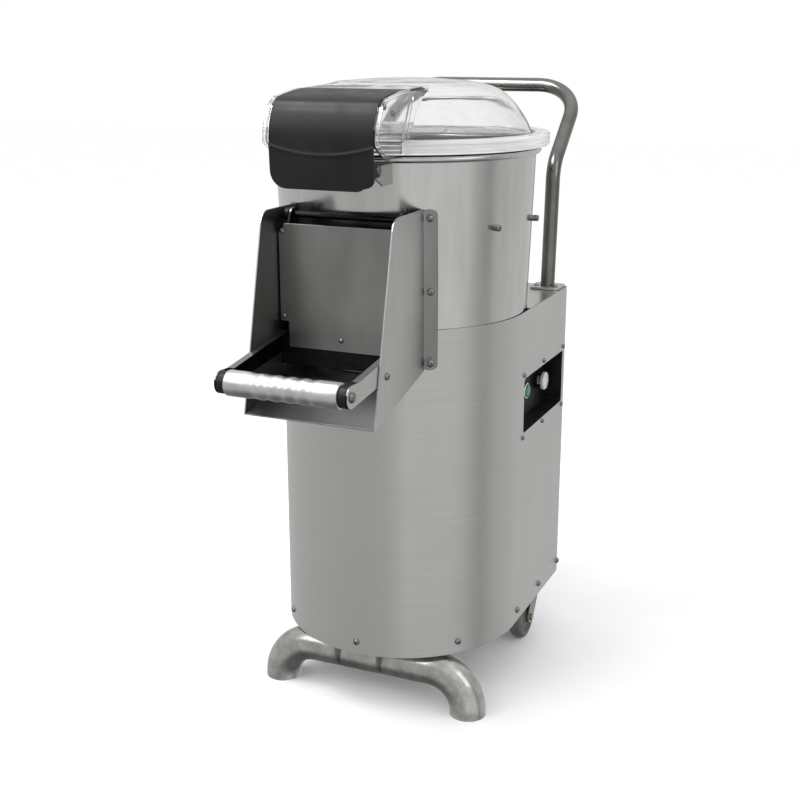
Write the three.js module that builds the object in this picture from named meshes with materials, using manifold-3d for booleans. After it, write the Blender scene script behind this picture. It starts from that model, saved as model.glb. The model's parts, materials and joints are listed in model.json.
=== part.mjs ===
// Floor-standing potato peeler: stainless body on a tube foot and two castors, a drum with an
// abrasive disc, a clear lid hinged at the front, a discharge chute with a lever door, a recessed
// start/stop panel and a push handle.
// Millimetres, +Z up, front of the machine towards -Y, origin on the floor under the middle.
import * as THREE from 'three';
import { mergeVertices } from 'three/addons/utils/BufferGeometryUtils.js';
import Module from 'manifold-3d';

const wasm = await Module();
wasm.setup();

// ---------------------------------------------------------------- driving dimensions
// Fore-and-aft places are measured from the drum axis, heights from the floor.
const slip = 0.3; // clearance between neighbouring fixed pieces
const running = 0.6; // clearance around pieces that move

const bodyHalfWidth = 205;
const bodyRear = 267;
const bodyHeight = 552;
const sheet = 2;
const cornerRadius = 12;
const panLip = 46; // height of the base pan
const rearFlange = 28;

const drumSheet = 2;
const drumDepth = 90; // below the deck
const drumRise = 253; // from the deck to the rolled rim
const drumFlare = 8.6; // growth in radius from the deck to the rim
const lipReach = 8;
const lipHeight = 7;

const discRadius = 190;
const discThickness = 12;
const discLift = 18; // from the drum floor to the disc
const ridgeHeight = 8;
const linerThickness = 3;
const linerHeight = 190;
const spindleRadius = 12.5;
const sealWidth = 7;
const bearingRadius = 26;
const bearingWidth = 13;
const housingWall = 7;
const housingFlange = 30; // beyond the bearings
const housingHeight = 66;
const housingGap = 12; // from the housing down to the driven pulley
const drivenPulleyRadius = 80;
const motorPulleyRadius = 22;
const pulleyWidth = 25;
const pulleyFlange = 3;
const beltThickness = 5;
const motorOffset = 150; // from the spindle to the motor shaft
const motorRadius = 68;
const motorLength = 190;
const motorFlange = 12; // beyond the motor's body
const motorFlangeThickness = 8;
const terminalHalf = 32;
const bridgeDrop = 45; // from the pulleys to the motor's bridge
const motorShaftRadius = 9;
const framePlate = 4;
const frameClearance = 29; // from the driven pulley's flange to the frame's outside

const lidWall = 4;
const lidOverhang = 13; // beyond the drum's rolled rim
const lidBandHeight = 20;
const lidBandWidth = 24;
const domeInset = 27; // from the band's edge to the dome
const lidRise = 83; // from the top of the band to the crown
const gasketThickness = 1.4;
const gasketWidth = 8;
const tabHalfWidth = 22;
const tabReach = 18; // beyond the band, at the back
const visorHalfWidth = 86;
const cheekThickness = 3;
const cheekFlange = 5; // turned out along each cheek's front edge
const cheekFlangeThickness = 3.5;
const visorReach = 77; // in front of the lid band
const hoodThickness = 3;
const hoodSetback = 40; // from the lid band's front to the hood's back edge
const hoodFlap = 45; // below the lid band
const hingeForward = 27; // from the lid band to the hinge rod
const hingeDrop = 5; // from the drum's rolled rim to the hinge rod
const hingeRodRadius = 4;
const earOffset = 65;
const earThickness = 3;
const lugThickness = 4;

const chuteHalfWidth = 107;
const chuteLipReach = 154; // body front to the lower front edge of the chute
const chuteTopReach = 86; // body front to the upper front edge
const chuteLipDrop = 109; // below the deck
const chuteTopRise = 185; // above the deck
const chuteFloorSlope = 0.253;
const chuteFlangeWidth = 17;

const openingInset = 15; // chute side to the edge of the drum's mouth
const openingSill = 2; // from the disc up to the mouth
const openingHeight = 200;
const rodRadius = 5;
const rodForward = 15; // from the body front to the door's pivot rod
const rodDrop = 12; // from the chute's top edge to the pivot rod
const bossRadius = 9;
const bossLength = 10;
const doorPlateForward = 39; // from the body front to the back of the door plate
const doorPlateHeight = 190;
const doorPlateSill = 28; // from the mouth's lower edge to the plate's
const doorStepHeight = 40;
const doorStepInset = 14;
const notchWidth = 8; // of the plate's two top corners
const notchHeight = 14;
const armDrop = 16; // from the plate's step down to the arms
const armTopFlange = 11;
const armHeight = 33;
const gripForward = 221; // from the body front to the grip axis
const gripRise = 68; // from the chute's lip to the grip axis
const gripRadius = 19;
const gripGrooves = 5;
const groovePitch = 22;
const grooveDepth = 2.4;
const gripEndGap = 0.4;
const gripRodRadius = 6;
const ringThickness = 12.6;
const ringInset = 2.5; // ring's radius inside the grip's

const recessFront = 24;
const recessLength = 220;
const recessDrop = 210; // from the deck to the recess floor
const recessHeight = 95;
const recessDepth = 31;
const recessWall = 2.5;
const recessRim = 16; // flange behind the sheet, above and below
const startButtonPlace = 95; // from the front end of the recess
const stopButtonPlace = 173;
const bezelRadius = 15;
const buttonRadius = 11;
const stopCapRadius = 16;

const handleTubeRadius = 12.5;
const handleInset = 30; // from the body side to the handle's leg
const handleFoot = 235; // behind the drum axis
const handleLean = 0.062; // rad, of the legs
const handleBendHeight = 190; // above the deck
const handleTilt = 0.856; // rad from upright, of the upper part
const handleReach = 400; // drum axis to the cross bar
const handleBend = 59;
const handleCorner = 79;
const flangeThickness = 4;
const flangeReach = 27;

const footTubeRadius = 30.5;
const footInset = 31; // from the body side to the foot's axis
const footForward = 140;
const footLeg = 5.2; // straight end of each foot above the floor
const gussetPlaces = [['left', -52], ['right', 25]];
const gussetLap = 18; // down past the foot's axis
const gussetToe = 14;
const gussetThickness = 4;
const gussetReach = 39;

const castorInset = 40; // from the body side to the castor
const castorSetback = 62; // from the body's rear to the castor's pivot
const castorTrail = 35;
const wheelRadius = 40;
const wheelHeadroom = 24; // from the wheel's top to the body's lower edge
const wheelWidth = 26;
const castorHeadRadius = 24;
const forkPlate = 3;
const forkEnd = 17; // fork plates beyond the axle
const axleRadius = 6;
const castorHeadHeight = 12;
const forkGap = 2; // between wheel and fork
const carrierThickness = 3;
const carrierMargin = 32; // carrier beyond the castors' pivots
const carrierReach = 78; // in front of the castors' pivots
const carrierSetback = 6; // from the body's rear
const panThickness = 3;

const drainRadius = 20;
const drainWall = 2;
const drainInset = 55; // from the body side
const drainY = 60;
const drainEnd = 60; // above the floor
const drainFlange = 9;
const drainFlangeThickness = 4;
const inletRadius = 8;
const inletWall = 2;
const inletNutReach = 5;
const inletNutLength = 10;
const inletSpout = 26; // from the nut's face to the end
const inletDrop = 45; // below the drum's rim
const glandRadius = 9;
const glandX = -120;
const glandRise = 56; // above the body's lower edge

// ---------------------------------------------------------------- derived places
const bodyBottom = 2 * wheelRadius + wheelHeadroom;
const deckTop = bodyBottom + bodyHeight;
const drumRadius = bodyHalfWidth - sheet - running;
const drumFloor = deckTop - drumDepth;
const rimHeight = deckTop + drumRise;
const rimTop = rimHeight + 4 + lipHeight;
const lipRadius = drumRadius + drumFlare + lipReach;
const discBottom = drumFloor + drumSheet + discLift;
const discTop = discBottom + discThickness;
const sealRadius = spindleRadius + sealWidth;
const bodyFront = -bodyHalfWidth;
const panBottom = bodyBottom - 1;
const panTop = panBottom + panThickness;
const wallInside = bodyHalfWidth - sheet;
const flangeEnd = bodyHalfWidth - cornerRadius - rearFlange;
const frameHalfWidth = drivenPulleyRadius + pulleyFlange + frameClearance;

const recessBottom = deckTop - recessDrop;
const recessTop = recessBottom + recessHeight;
const recessRear = recessFront + recessLength;
const buttonHeight = (recessBottom + recessTop) / 2;
const startButtonY = recessFront + startButtonPlace;
const stopButtonY = recessFront + stopButtonPlace;

const lidRadius = lipRadius + lidOverhang;
const hoodBackEdge = hoodSetback - lidRadius;
const lidBase = rimTop + gasketThickness + 2 * slip;
const bandTop = lidBase + lidBandHeight;
const hingeY = -lidRadius - hingeForward;
const hingeZ = rimTop - hingeDrop - lipHeight - 4;

const chuteLipHeight = deckTop - chuteLipDrop;
const chuteTopHeight = deckTop + chuteTopRise;
const openingHalfWidth = chuteHalfWidth - openingInset;
const openingBottom = discTop + openingSill;
const openingTop = openingBottom + openingHeight;
const rodY = bodyFront - rodForward;
const rodZ = chuteTopHeight - rodDrop;
const doorPlateY = bodyFront - doorPlateForward;
const doorPlateBottom = openingBottom + doorPlateSill;
const gripY = bodyFront - gripForward;
const gripHeight = chuteLipHeight + gripRise;
const frameBackY = doorPlateY + slip;
const insideChute = chuteHalfWidth - sheet - slip;
const armOuter = insideChute - slip;
const gripHalfLength = armOuter - sheet - gripEndGap - ringThickness;

const drainX = drainInset - bodyHalfWidth;
const inletHeight = rimHeight - inletDrop;
const inletNut = drumRadiusAt(inletHeight) + 1;
const glandZ = bodyBottom + glandRise;

const handleHalfWidth = bodyHalfWidth - handleInset;
const footHalfTrack = bodyHalfWidth - footInset;
const castorTrack = bodyHalfWidth - castorInset;
const castorPivot = bodyRear - castorSetback;

const segments = 48; // round the large pieces

function drumRadiusAt(height) {
  return drumRadius + (drumFlare * Math.max(0, height - deckTop)) / drumRise;
}

// ---------------------------------------------------------------- materials
function finish(color, roughness, metalness, opacity = 1) {
  return new THREE.MeshStandardMaterial({
    color, roughness, metalness, opacity, transparent: opacity < 1,
  });
}

const stainless = finish(0xa9a9a7, 0.38, 1);
const polishedStainless = finish(0xc4c5c0, 0.22, 1);
const turnedAluminium = finish(0xd2d3d2, 0.3, 1);
const clearPlastic = finish(0xe6ecec, 0.08, 0, 0.35);
const blackPlastic = finish(0x1f1f20, 0.5, 0);
const blackRubber = finish(0x161616, 0.8, 0);
const greyRubber = finish(0x5f605c, 0.7, 0);
const abrasive = finish(0x4a453e, 0.95, 0);
const zincSteel = finish(0x9aa09a, 0.4, 1);
const castIron = finish(0x4d5154, 0.7, 0.6);
const motorPaint = finish(0x35506b, 0.5, 0.2);
const chrome = finish(0xd5d5d5, 0.12, 1);
const greenPlastic = finish(0x2f9a5c, 0.35, 0);
const whitePlastic = finish(0xd9dcd8, 0.4, 0);

// ---------------------------------------------------------------- solids
// Turns a closed geometry into a solid, dropping what a pole collapsed and facing it outwards.
function solid(geometry) {
  geometry.deleteAttribute('normal');
  geometry.deleteAttribute('uv');
  const merged = mergeVertices(geometry, 1e-4);
  const at = merged.attributes.position;
  const index = merged.index.array;
  const corner = [new THREE.Vector3(), new THREE.Vector3(), new THREE.Vector3()];
  const kept = [];
  let volume = 0;
  for (let i = 0; i < index.length; i += 3) {
    const [a, b, c] = index.slice(i, i + 3);
    if (a === b || b === c || a === c) continue;
    kept.push(a, b, c);
    [a, b, c].forEach((vertex, k) => corner[k].fromBufferAttribute(at, vertex));
    volume += corner[0].dot(corner[1].cross(corner[2]));
  }
  if (volume < 0) kept.reverse();
  return new wasm.Manifold(new wasm.Mesh({
    numProp: 3,
    vertProperties: new Float32Array(at.array),
    triVerts: new Uint32Array(kept),
  }));
}

function join(first, ...others) {
  return others.reduce((whole, other) => whole.add(other), first);
}

function cut(first, ...others) {
  return others.reduce((whole, other) => whole.subtract(other), first);
}

function block(x0, x1, y0, y1, z0, z1) {
  const geometry = new THREE.BoxGeometry(x1 - x0, y1 - y0, z1 - z0);
  return solid(geometry.translate((x0 + x1) / 2, (y0 + y1) / 2, (z0 + z1) / 2));
}

const alongX = new THREE.Matrix4().makeBasis(
  new THREE.Vector3(0, 1, 0), new THREE.Vector3(0, 0, 1), new THREE.Vector3(1, 0, 0));
const alongY = new THREE.Matrix4().makeBasis(
  new THREE.Vector3(1, 0, 0), new THREE.Vector3(0, 0, 1), new THREE.Vector3(0, -1, 0));
const alongZ = new THREE.Matrix4();

// Extrudes an outline of [u, v] points between two places on an axis: (y, z) along X, (x, z)
// along Y, or (x, y) along Z.
function prism(axis, outline, from, to) {
  const shape = new THREE.Shape(outline.map(([u, v]) => new THREE.Vector2(u, v)));
  const geometry = new THREE.ExtrudeGeometry(shape, { depth: to - from, bevelEnabled: false });
  geometry.applyMatrix4(axis);
  const start = axis === alongX ? [from, 0, 0] : axis === alongY ? [0, to, 0] : [0, 0, from];
  return solid(geometry.translate(...start));
}

// Turns a closed [radius, height] profile round the vertical axis through (x, y).
function turned(profile, { x = 0, y = 0, around = segments } = {}) {
  const closed = [...profile];
  if (profile[0][0] > 0) closed.push(profile[0]);
  const points = closed.map(([radius, height]) => new THREE.Vector2(radius, height));
  const geometry = new THREE.LatheGeometry(points, around);
  return solid(geometry.rotateX(Math.PI / 2).translate(x, y, 0));
}

// The same round an axis along X through (y, z); the profile's heights become X places.
function turnedAlongX(profile, y, z, around = 20) {
  const closed = [...profile];
  if (profile[0][0] > 0) closed.push(profile[0]);
  const points = closed.map(([radius, x]) => new THREE.Vector2(radius, x));
  const geometry = new THREE.LatheGeometry(points, around);
  return solid(geometry.rotateZ(-Math.PI / 2).translate(0, y, z));
}

// A profile turned round an axis along Y through (x, z); its heights become Y places.
function turnedBackwards(profile, x, z, around = 16) {
  const closed = [...profile];
  if (profile[0][0] > 0) closed.push(profile[0]);
  const points = closed.map(([radius, y]) => new THREE.Vector2(radius, y));
  return solid(new THREE.LatheGeometry(points, around).translate(x, 0, z));
}

function ringProfile(inner, outer, from, to) {
  return [[inner, from], [outer, from], [outer, to], [inner, to]];
}

function rodProfile(radius, from, to) {
  return [[0, from], [radius, from], [radius, to], [0, to]];
}

function arc(u, v, radius, from, to, steps) {
  return Array.from({ length: steps + 1 }, (_, i) => {
    const angle = from + ((to - from) * i) / steps;
    return [u + radius * Math.cos(angle), v + radius * Math.sin(angle)];
  });
}

// A polygon whose corners are rounded by the radius given with each point.
function rounded(corners, steps = 4) {
  return corners.flatMap(([u, v, radius = 0], i) => {
    if (radius === 0) return [[u, v]];
    const [pu, pv] = corners[(i + corners.length - 1) % corners.length];
    const [nu, nv] = corners[(i + 1) % corners.length];
    const back = new THREE.Vector2(pu - u, pv - v).normalize();
    const ahead = new THREE.Vector2(nu - u, nv - v).normalize();
    const half = Math.acos(THREE.MathUtils.clamp(back.dot(ahead), -1, 1)) / 2;
    const run = radius / Math.tan(half);
    const middle = back.clone().add(ahead).normalize().multiplyScalar(radius / Math.sin(half));
    const centre = new THREE.Vector2(u, v).add(middle);
    const start = new THREE.Vector2(u, v).addScaledVector(back, run).sub(centre);
    const end = new THREE.Vector2(u, v).addScaledVector(ahead, run).sub(centre);
    let sweep = end.angle() - start.angle();
    if (sweep > Math.PI) sweep -= 2 * Math.PI;
    if (sweep < -Math.PI) sweep += 2 * Math.PI;
    return arc(centre.x, centre.y, radius, start.angle(), start.angle() + sweep, steps);
  });
}

function rectangle(u0, u1, v0, v1, radius = 0) {
  return rounded([[u0, v0, radius], [u1, v0, radius], [u1, v1, radius], [u0, v1, radius]]);
}

// An open line of [u, v] points given a thickness to its right-hand side.
function strip(line, thickness) {
  const offset = line.map(([u, v], i) => {
    const [pu, pv] = line[Math.max(i - 1, 0)];
    const [nu, nv] = line[Math.min(i + 1, line.length - 1)];
    const along = new THREE.Vector2(nu - pu, nv - pv).normalize();
    return [u + along.y * thickness, v - along.x * thickness];
  });
  return [...line, ...offset.reverse()];
}

// A round bar along a path of corner points, each with its bend radius.
function bentTube(corners, radius, sides, steps) {
  const path = new THREE.CurvePath();
  let last = corners[0].at;
  corners.slice(1, -1).forEach(({ at, bend }, i) => {
    const back = corners[i].at.clone().sub(at).normalize();
    const ahead = corners[i + 2].at.clone().sub(at).normalize();
    const run = bend / Math.tan(back.angleTo(ahead) / 2);
    const pull = (4 / 3) * Math.tan((Math.PI - back.angleTo(ahead)) / 4) * bend;
    const start = at.clone().addScaledVector(back, run);
    const end = at.clone().addScaledVector(ahead, run);
    path.add(new THREE.LineCurve3(last, start));
    path.add(new THREE.CubicBezierCurve3(
      start, start.clone().addScaledVector(back, -pull), end.clone().addScaledVector(ahead, -pull), end));
    last = end;
  });
  path.add(new THREE.LineCurve3(last, corners.at(-1).at));
  const section = new THREE.Shape(arc(0, 0, radius, 0, 2 * Math.PI, sides).slice(0, -1)
    .map(([u, v]) => new THREE.Vector2(u, v)));
  return solid(new THREE.ExtrudeGeometry(section, { extrudePath: path, steps, bevelEnabled: false }));
}

const machine = new THREE.Group();

function piece(name, shape, material) {
  const { vertProperties, triVerts } = shape.getMesh();
  const geometry = new THREE.BufferGeometry();
  geometry.setAttribute('position', new THREE.BufferAttribute(vertProperties, 3));
  geometry.setIndex(new THREE.BufferAttribute(triVerts, 1));
  geometry.computeVertexNormals();
  const mesh = new THREE.Mesh(geometry, material);
  mesh.name = name;
  machine.add(mesh);
}

const sides = [['left', -1], ['right', 1]];

// ---------------------------------------------------------------- body
// The body in plan: a half round front, flat sides and two rounded rear corners.
function bodyOutline(inset) {
  const radius = bodyHalfWidth - inset;
  const corner = cornerRadius - inset;
  const cornerX = bodyHalfWidth - cornerRadius;
  const cornerY = bodyRear - cornerRadius;
  return [
    ...arc(-cornerX, cornerY, corner, Math.PI / 2, Math.PI, 4),
    ...arc(0, 0, radius, Math.PI, 2 * Math.PI, segments / 2),
    ...arc(cornerX, cornerY, corner, 0, Math.PI / 2, 4),
  ];
}

function buildBody() {
  const wrap = [
    [-flangeEnd, bodyRear], ...bodyOutline(0), [flangeEnd, bodyRear],
    [flangeEnd, bodyRear - sheet], ...bodyOutline(sheet).reverse(), [-flangeEnd, bodyRear - sheet],
  ];
  const recess = rectangle(recessFront, recessRear, recessBottom, recessTop, 6);
  const mouth = block(-openingHalfWidth - 2, openingHalfWidth + 2, bodyFront - 5, bodyFront / 2,
    openingBottom - 4, deckTop + 1);
  piece('body_shell', cut(prism(alongZ, wrap, bodyBottom, deckTop),
    prism(alongX, recess, wallInside - 1, bodyHalfWidth + 1), mouth), stainless);

  const panelHalf = flangeEnd + rearFlange - 5;
  const gland = turnedBackwards(rodProfile(glandRadius + slip, bodyRear, bodyRear + 5), glandX, glandZ);
  piece('rear_panel', cut(prism(alongY, rectangle(-panelHalf, panelHalf, bodyBottom + 6, deckTop - 6, 4),
    bodyRear + slip, bodyRear + slip + sheet), gland), stainless);

  const deckFront = drumRadius / 4;
  const start = Math.asin(deckFront / (drumRadius + running));
  const deckEdge = wallInside - slip;
  const cornerX = bodyHalfWidth - cornerRadius;
  const cornerY = bodyRear - cornerRadius;
  const cornerR = cornerRadius - sheet - slip;
  const deck = [
    [deckEdge, deckFront],
    ...arc(cornerX, cornerY, cornerR, 0, Math.PI / 2, 4),
    ...arc(-cornerX, cornerY, cornerR, Math.PI / 2, Math.PI, 4),
    [-deckEdge, deckFront],
    ...arc(0, 0, drumRadius + running, Math.PI - start, start, segments / 2),
  ];
  piece('top_deck', prism(alongZ, deck, deckTop - sheet, deckTop), stainless);

  const panInset = sheet + slip;
  const pan = prism(alongZ, bodyOutline(panInset), panBottom, panBottom + panLip);
  const inside = prism(alongZ, bodyOutline(panInset + sheet), panTop, panBottom + panLip + 4);
  const drainHole = turned(rodProfile(drainRadius + running, panBottom - 1, panTop + 1),
    { x: drainX, y: drainY, around: 16 });
  piece('base_pan', cut(pan, inside, drainHole), stainless);
}

// ---------------------------------------------------------------- drum and drive
function buildDrum() {
  const inner = (height) => drumRadiusAt(height) - drumSheet;
  const profile = [
    [drumRadius - drumSheet, drumFloor],
    [drumRadius, drumFloor],
    [drumRadius, deckTop],
    [drumRadiusAt(rimHeight), rimHeight],
    [lipRadius - 2, rimHeight + 2],
    [lipRadius, rimHeight + 4],
    [lipRadius, rimTop - 2],
    [lipRadius - 2, rimTop],
    [inner(rimHeight), rimTop],
    [inner(rimHeight), rimHeight],
    [drumRadius - drumSheet, deckTop],
  ];
  const mouth = block(-openingHalfWidth, openingHalfWidth, bodyFront - 30, bodyFront / 2,
    openingBottom, openingTop);
  const drainHole = turned(rodProfile(drainRadius, drumFloor - 1, drumFloor + drumSheet + 1),
    { x: drainX, y: drainY, around: 16 });
  const inletHole = turnedBackwards(rodProfile(inletRadius + slip, drumRadius - 12, lipRadius),
    0, inletHeight);
  piece('drum', cut(turned(profile), mouth, inletHole), stainless);
  const floorRing = ringProfile(sealRadius + slip, drumRadius - drumSheet - slip, drumFloor,
    drumFloor + drumSheet);
  piece('drum_floor', cut(turned(floorRing), drainHole), stainless);

  const linerBottom = discTop + 4;
  const linerTop = linerBottom + linerHeight;
  const outside = (height) => inner(height) - slip;
  const liner = [
    [outside(linerBottom) - linerThickness, linerBottom],
    [outside(linerBottom), linerBottom],
    [outside(deckTop), deckTop],
    [outside(linerTop), linerTop],
    [outside(linerTop) - linerThickness, linerTop],
    [outside(deckTop) - linerThickness, deckTop],
  ];
  piece('abrasive_liner', cut(turned(liner), mouth), abrasive);

  const flangeBottom = drumFloor - slip - drainFlangeThickness;
  piece('drain_outlet', turned([
    [drainRadius - drainWall, drainEnd], [drainRadius, drainEnd],
    [drainRadius, flangeBottom], [drainRadius + drainFlange, flangeBottom],
    [drainRadius + drainFlange, drumFloor - slip], [drainRadius - drainWall, drumFloor - slip],
  ], { x: drainX, y: drainY, around: 16 }), stainless);

  piece('water_inlet', turnedBackwards([
    [inletRadius - inletWall, drumRadius - 4], [inletRadius, drumRadius - 4], [inletRadius, inletNut],
    [inletRadius + inletNutReach, inletNut], [inletRadius + inletNutReach, inletNut + inletNutLength],
    [inletRadius, inletNut + inletNutLength],
    [inletRadius, inletNut + inletSpout], [inletRadius - inletWall, inletNut + inletSpout],
  ], 0, inletHeight, 16), chrome);

  piece('cable_gland', turnedBackwards([
    [0, bodyRear - 8], [glandRadius, bodyRear - 8], [glandRadius, bodyRear + sheet + 2 * slip],
    [glandRadius + 3, bodyRear + sheet + 2 * slip], [glandRadius + 3, bodyRear + 10],
    [glandRadius - 1, bodyRear + 20], [4, bodyRear + 24], [0, bodyRear + 24],
  ], glandX, glandZ, 16), blackPlastic);
}

function buildDrive() {
  const ridges = [0, 1, 2].map((turn) => {
    const angle = (turn * 2 * Math.PI) / 3 + Math.PI / 6;
    const bar = new THREE.CylinderGeometry(24, 24, discRadius - 60, 16);
    bar.scale(1, 1, ridgeHeight / 24);
    bar.rotateZ(angle - Math.PI / 2);
    const reach = (discRadius + 40) / 2;
    bar.translate(reach * Math.cos(angle), reach * Math.sin(angle), discTop);
    return cut(solid(bar), block(-discRadius, discRadius, -discRadius, discRadius,
      discTop - 3 * ridgeHeight, discTop - 1));
  });
  piece('abrasive_disc', join(turned(ringProfile(spindleRadius + slip, discRadius, discBottom, discTop)),
    ...ridges), abrasive);

  const housingTop = drumFloor - slip;
  const housingBottom = housingTop - housingHeight;
  const pulleyTop = housingBottom - housingGap;
  const pulleyBottom = pulleyTop - pulleyWidth;
  piece('spindle', turned([
    [0, pulleyBottom - 8], [spindleRadius, pulleyBottom - 8], [spindleRadius, discTop + slip],
    [spindleRadius + 13, discTop + slip], [spindleRadius + 13, discTop + 7],
    [spindleRadius, discTop + 13], [0, discTop + 14],
  ], { around: 16 }), zincSteel);
  piece('bearing_housing', turned([
    [bearingRadius, housingBottom], [bearingRadius + housingWall, housingBottom],
    [bearingRadius + housingWall, housingTop - housingWall],
    [bearingRadius + housingFlange, housingTop - housingWall],
    [bearingRadius + housingFlange, housingTop], [bearingRadius, housingTop],
  ], { around: 24 }), castIron);
  const bearing = (bottom) => turned(ringProfile(spindleRadius + slip, bearingRadius - slip,
    bottom, bottom + bearingWidth), { around: 16 });
  piece('upper_bearing', bearing(housingTop - 4 - bearingWidth), zincSteel);
  piece('lower_bearing', bearing(housingBottom + 3), zincSteel);
  piece('shaft_seal', turned(ringProfile(spindleRadius + slip, sealRadius, drumFloor + slip,
    drumFloor + 8), { around: 16 }), blackRubber);

  const pulley = (seat, bore, y) => turned([
    [bore + slip, pulleyBottom], [seat + pulleyFlange, pulleyBottom],
    [seat + pulleyFlange, pulleyBottom + pulleyFlange], [seat, pulleyBottom + pulleyFlange],
    [seat, pulleyTop - pulleyFlange], [seat + pulleyFlange, pulleyTop - pulleyFlange],
    [seat + pulleyFlange, pulleyTop], [bore + slip, pulleyTop],
  ], { y, around: 24 });
  piece('driven_pulley', pulley(drivenPulleyRadius, spindleRadius, 0), castIron);
  piece('motor_pulley', pulley(motorPulleyRadius, motorShaftRadius, motorOffset), castIron);

  const wrapAngle = Math.asin((drivenPulleyRadius - motorPulleyRadius) / motorOffset);
  const beltLine = (grow) => [
    ...arc(0, 0, drivenPulleyRadius + grow, Math.PI - wrapAngle, 2 * Math.PI + wrapAngle, 24),
    ...arc(0, motorOffset, motorPulleyRadius + grow, wrapAngle, Math.PI - wrapAngle, 12),
  ];
  const beltBottom = pulleyBottom + pulleyFlange + slip;
  const beltTop = pulleyTop - pulleyFlange - slip;
  piece('drive_belt', cut(prism(alongZ, beltLine(running + beltThickness), beltBottom, beltTop),
    prism(alongZ, beltLine(running), beltBottom - 1, beltTop + 1)), blackRubber);

  const bridgeTop = pulleyBottom - bridgeDrop;
  const bridgeBottom = bridgeTop - framePlate;
  const motorTop = bridgeBottom - slip;
  const pocket = motorTop - 30;
  const casing = turned([
    [0, motorTop - motorLength], [motorRadius - 8, motorTop - motorLength],
    [motorRadius, motorTop - motorLength + 10], [motorRadius, motorTop - motorFlangeThickness],
    [motorRadius + motorFlange, motorTop - motorFlangeThickness],
    [motorRadius + motorFlange, motorTop],
    [motorShaftRadius + running, motorTop], [motorShaftRadius + running, pocket], [0, pocket],
  ], { y: motorOffset, around: 24 });
  const motorBack = motorOffset + motorRadius;
  const terminalBox = block(-terminalHalf, terminalHalf, motorBack - 12, motorBack + 26,
    motorTop - motorLength * 0.65, motorTop - motorLength * 0.3);
  piece('motor', join(casing, terminalBox), motorPaint);
  piece('motor_shaft', turned(rodProfile(motorShaftRadius, pocket + slip, pulleyTop + 4),
    { y: motorOffset, around: 16 }), zincSteel);

  const frameFront = -drivenPulleyRadius + 10;
  const frameBack = motorBack + 4;
  const cheek = (side) => {
    const edges = [side * frameHalfWidth, side * (frameHalfWidth - framePlate)].sort((a, b) => a - b);
    return block(...edges, frameFront, frameBack, panTop + slip, housingTop);
  };
  const bridge = block(-frameHalfWidth + 1, frameHalfWidth - 1, frameFront, frameBack,
    bridgeBottom, bridgeTop);
  const bridgeHole = turned(rodProfile(motorShaftRadius + 12, bridgeBottom - 1, bridgeTop + 1),
    { y: motorOffset, around: 16 });
  piece('drive_frame', cut(join(bridge, cheek(-1), cheek(1)), bridgeHole), zincSteel);
}

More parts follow.
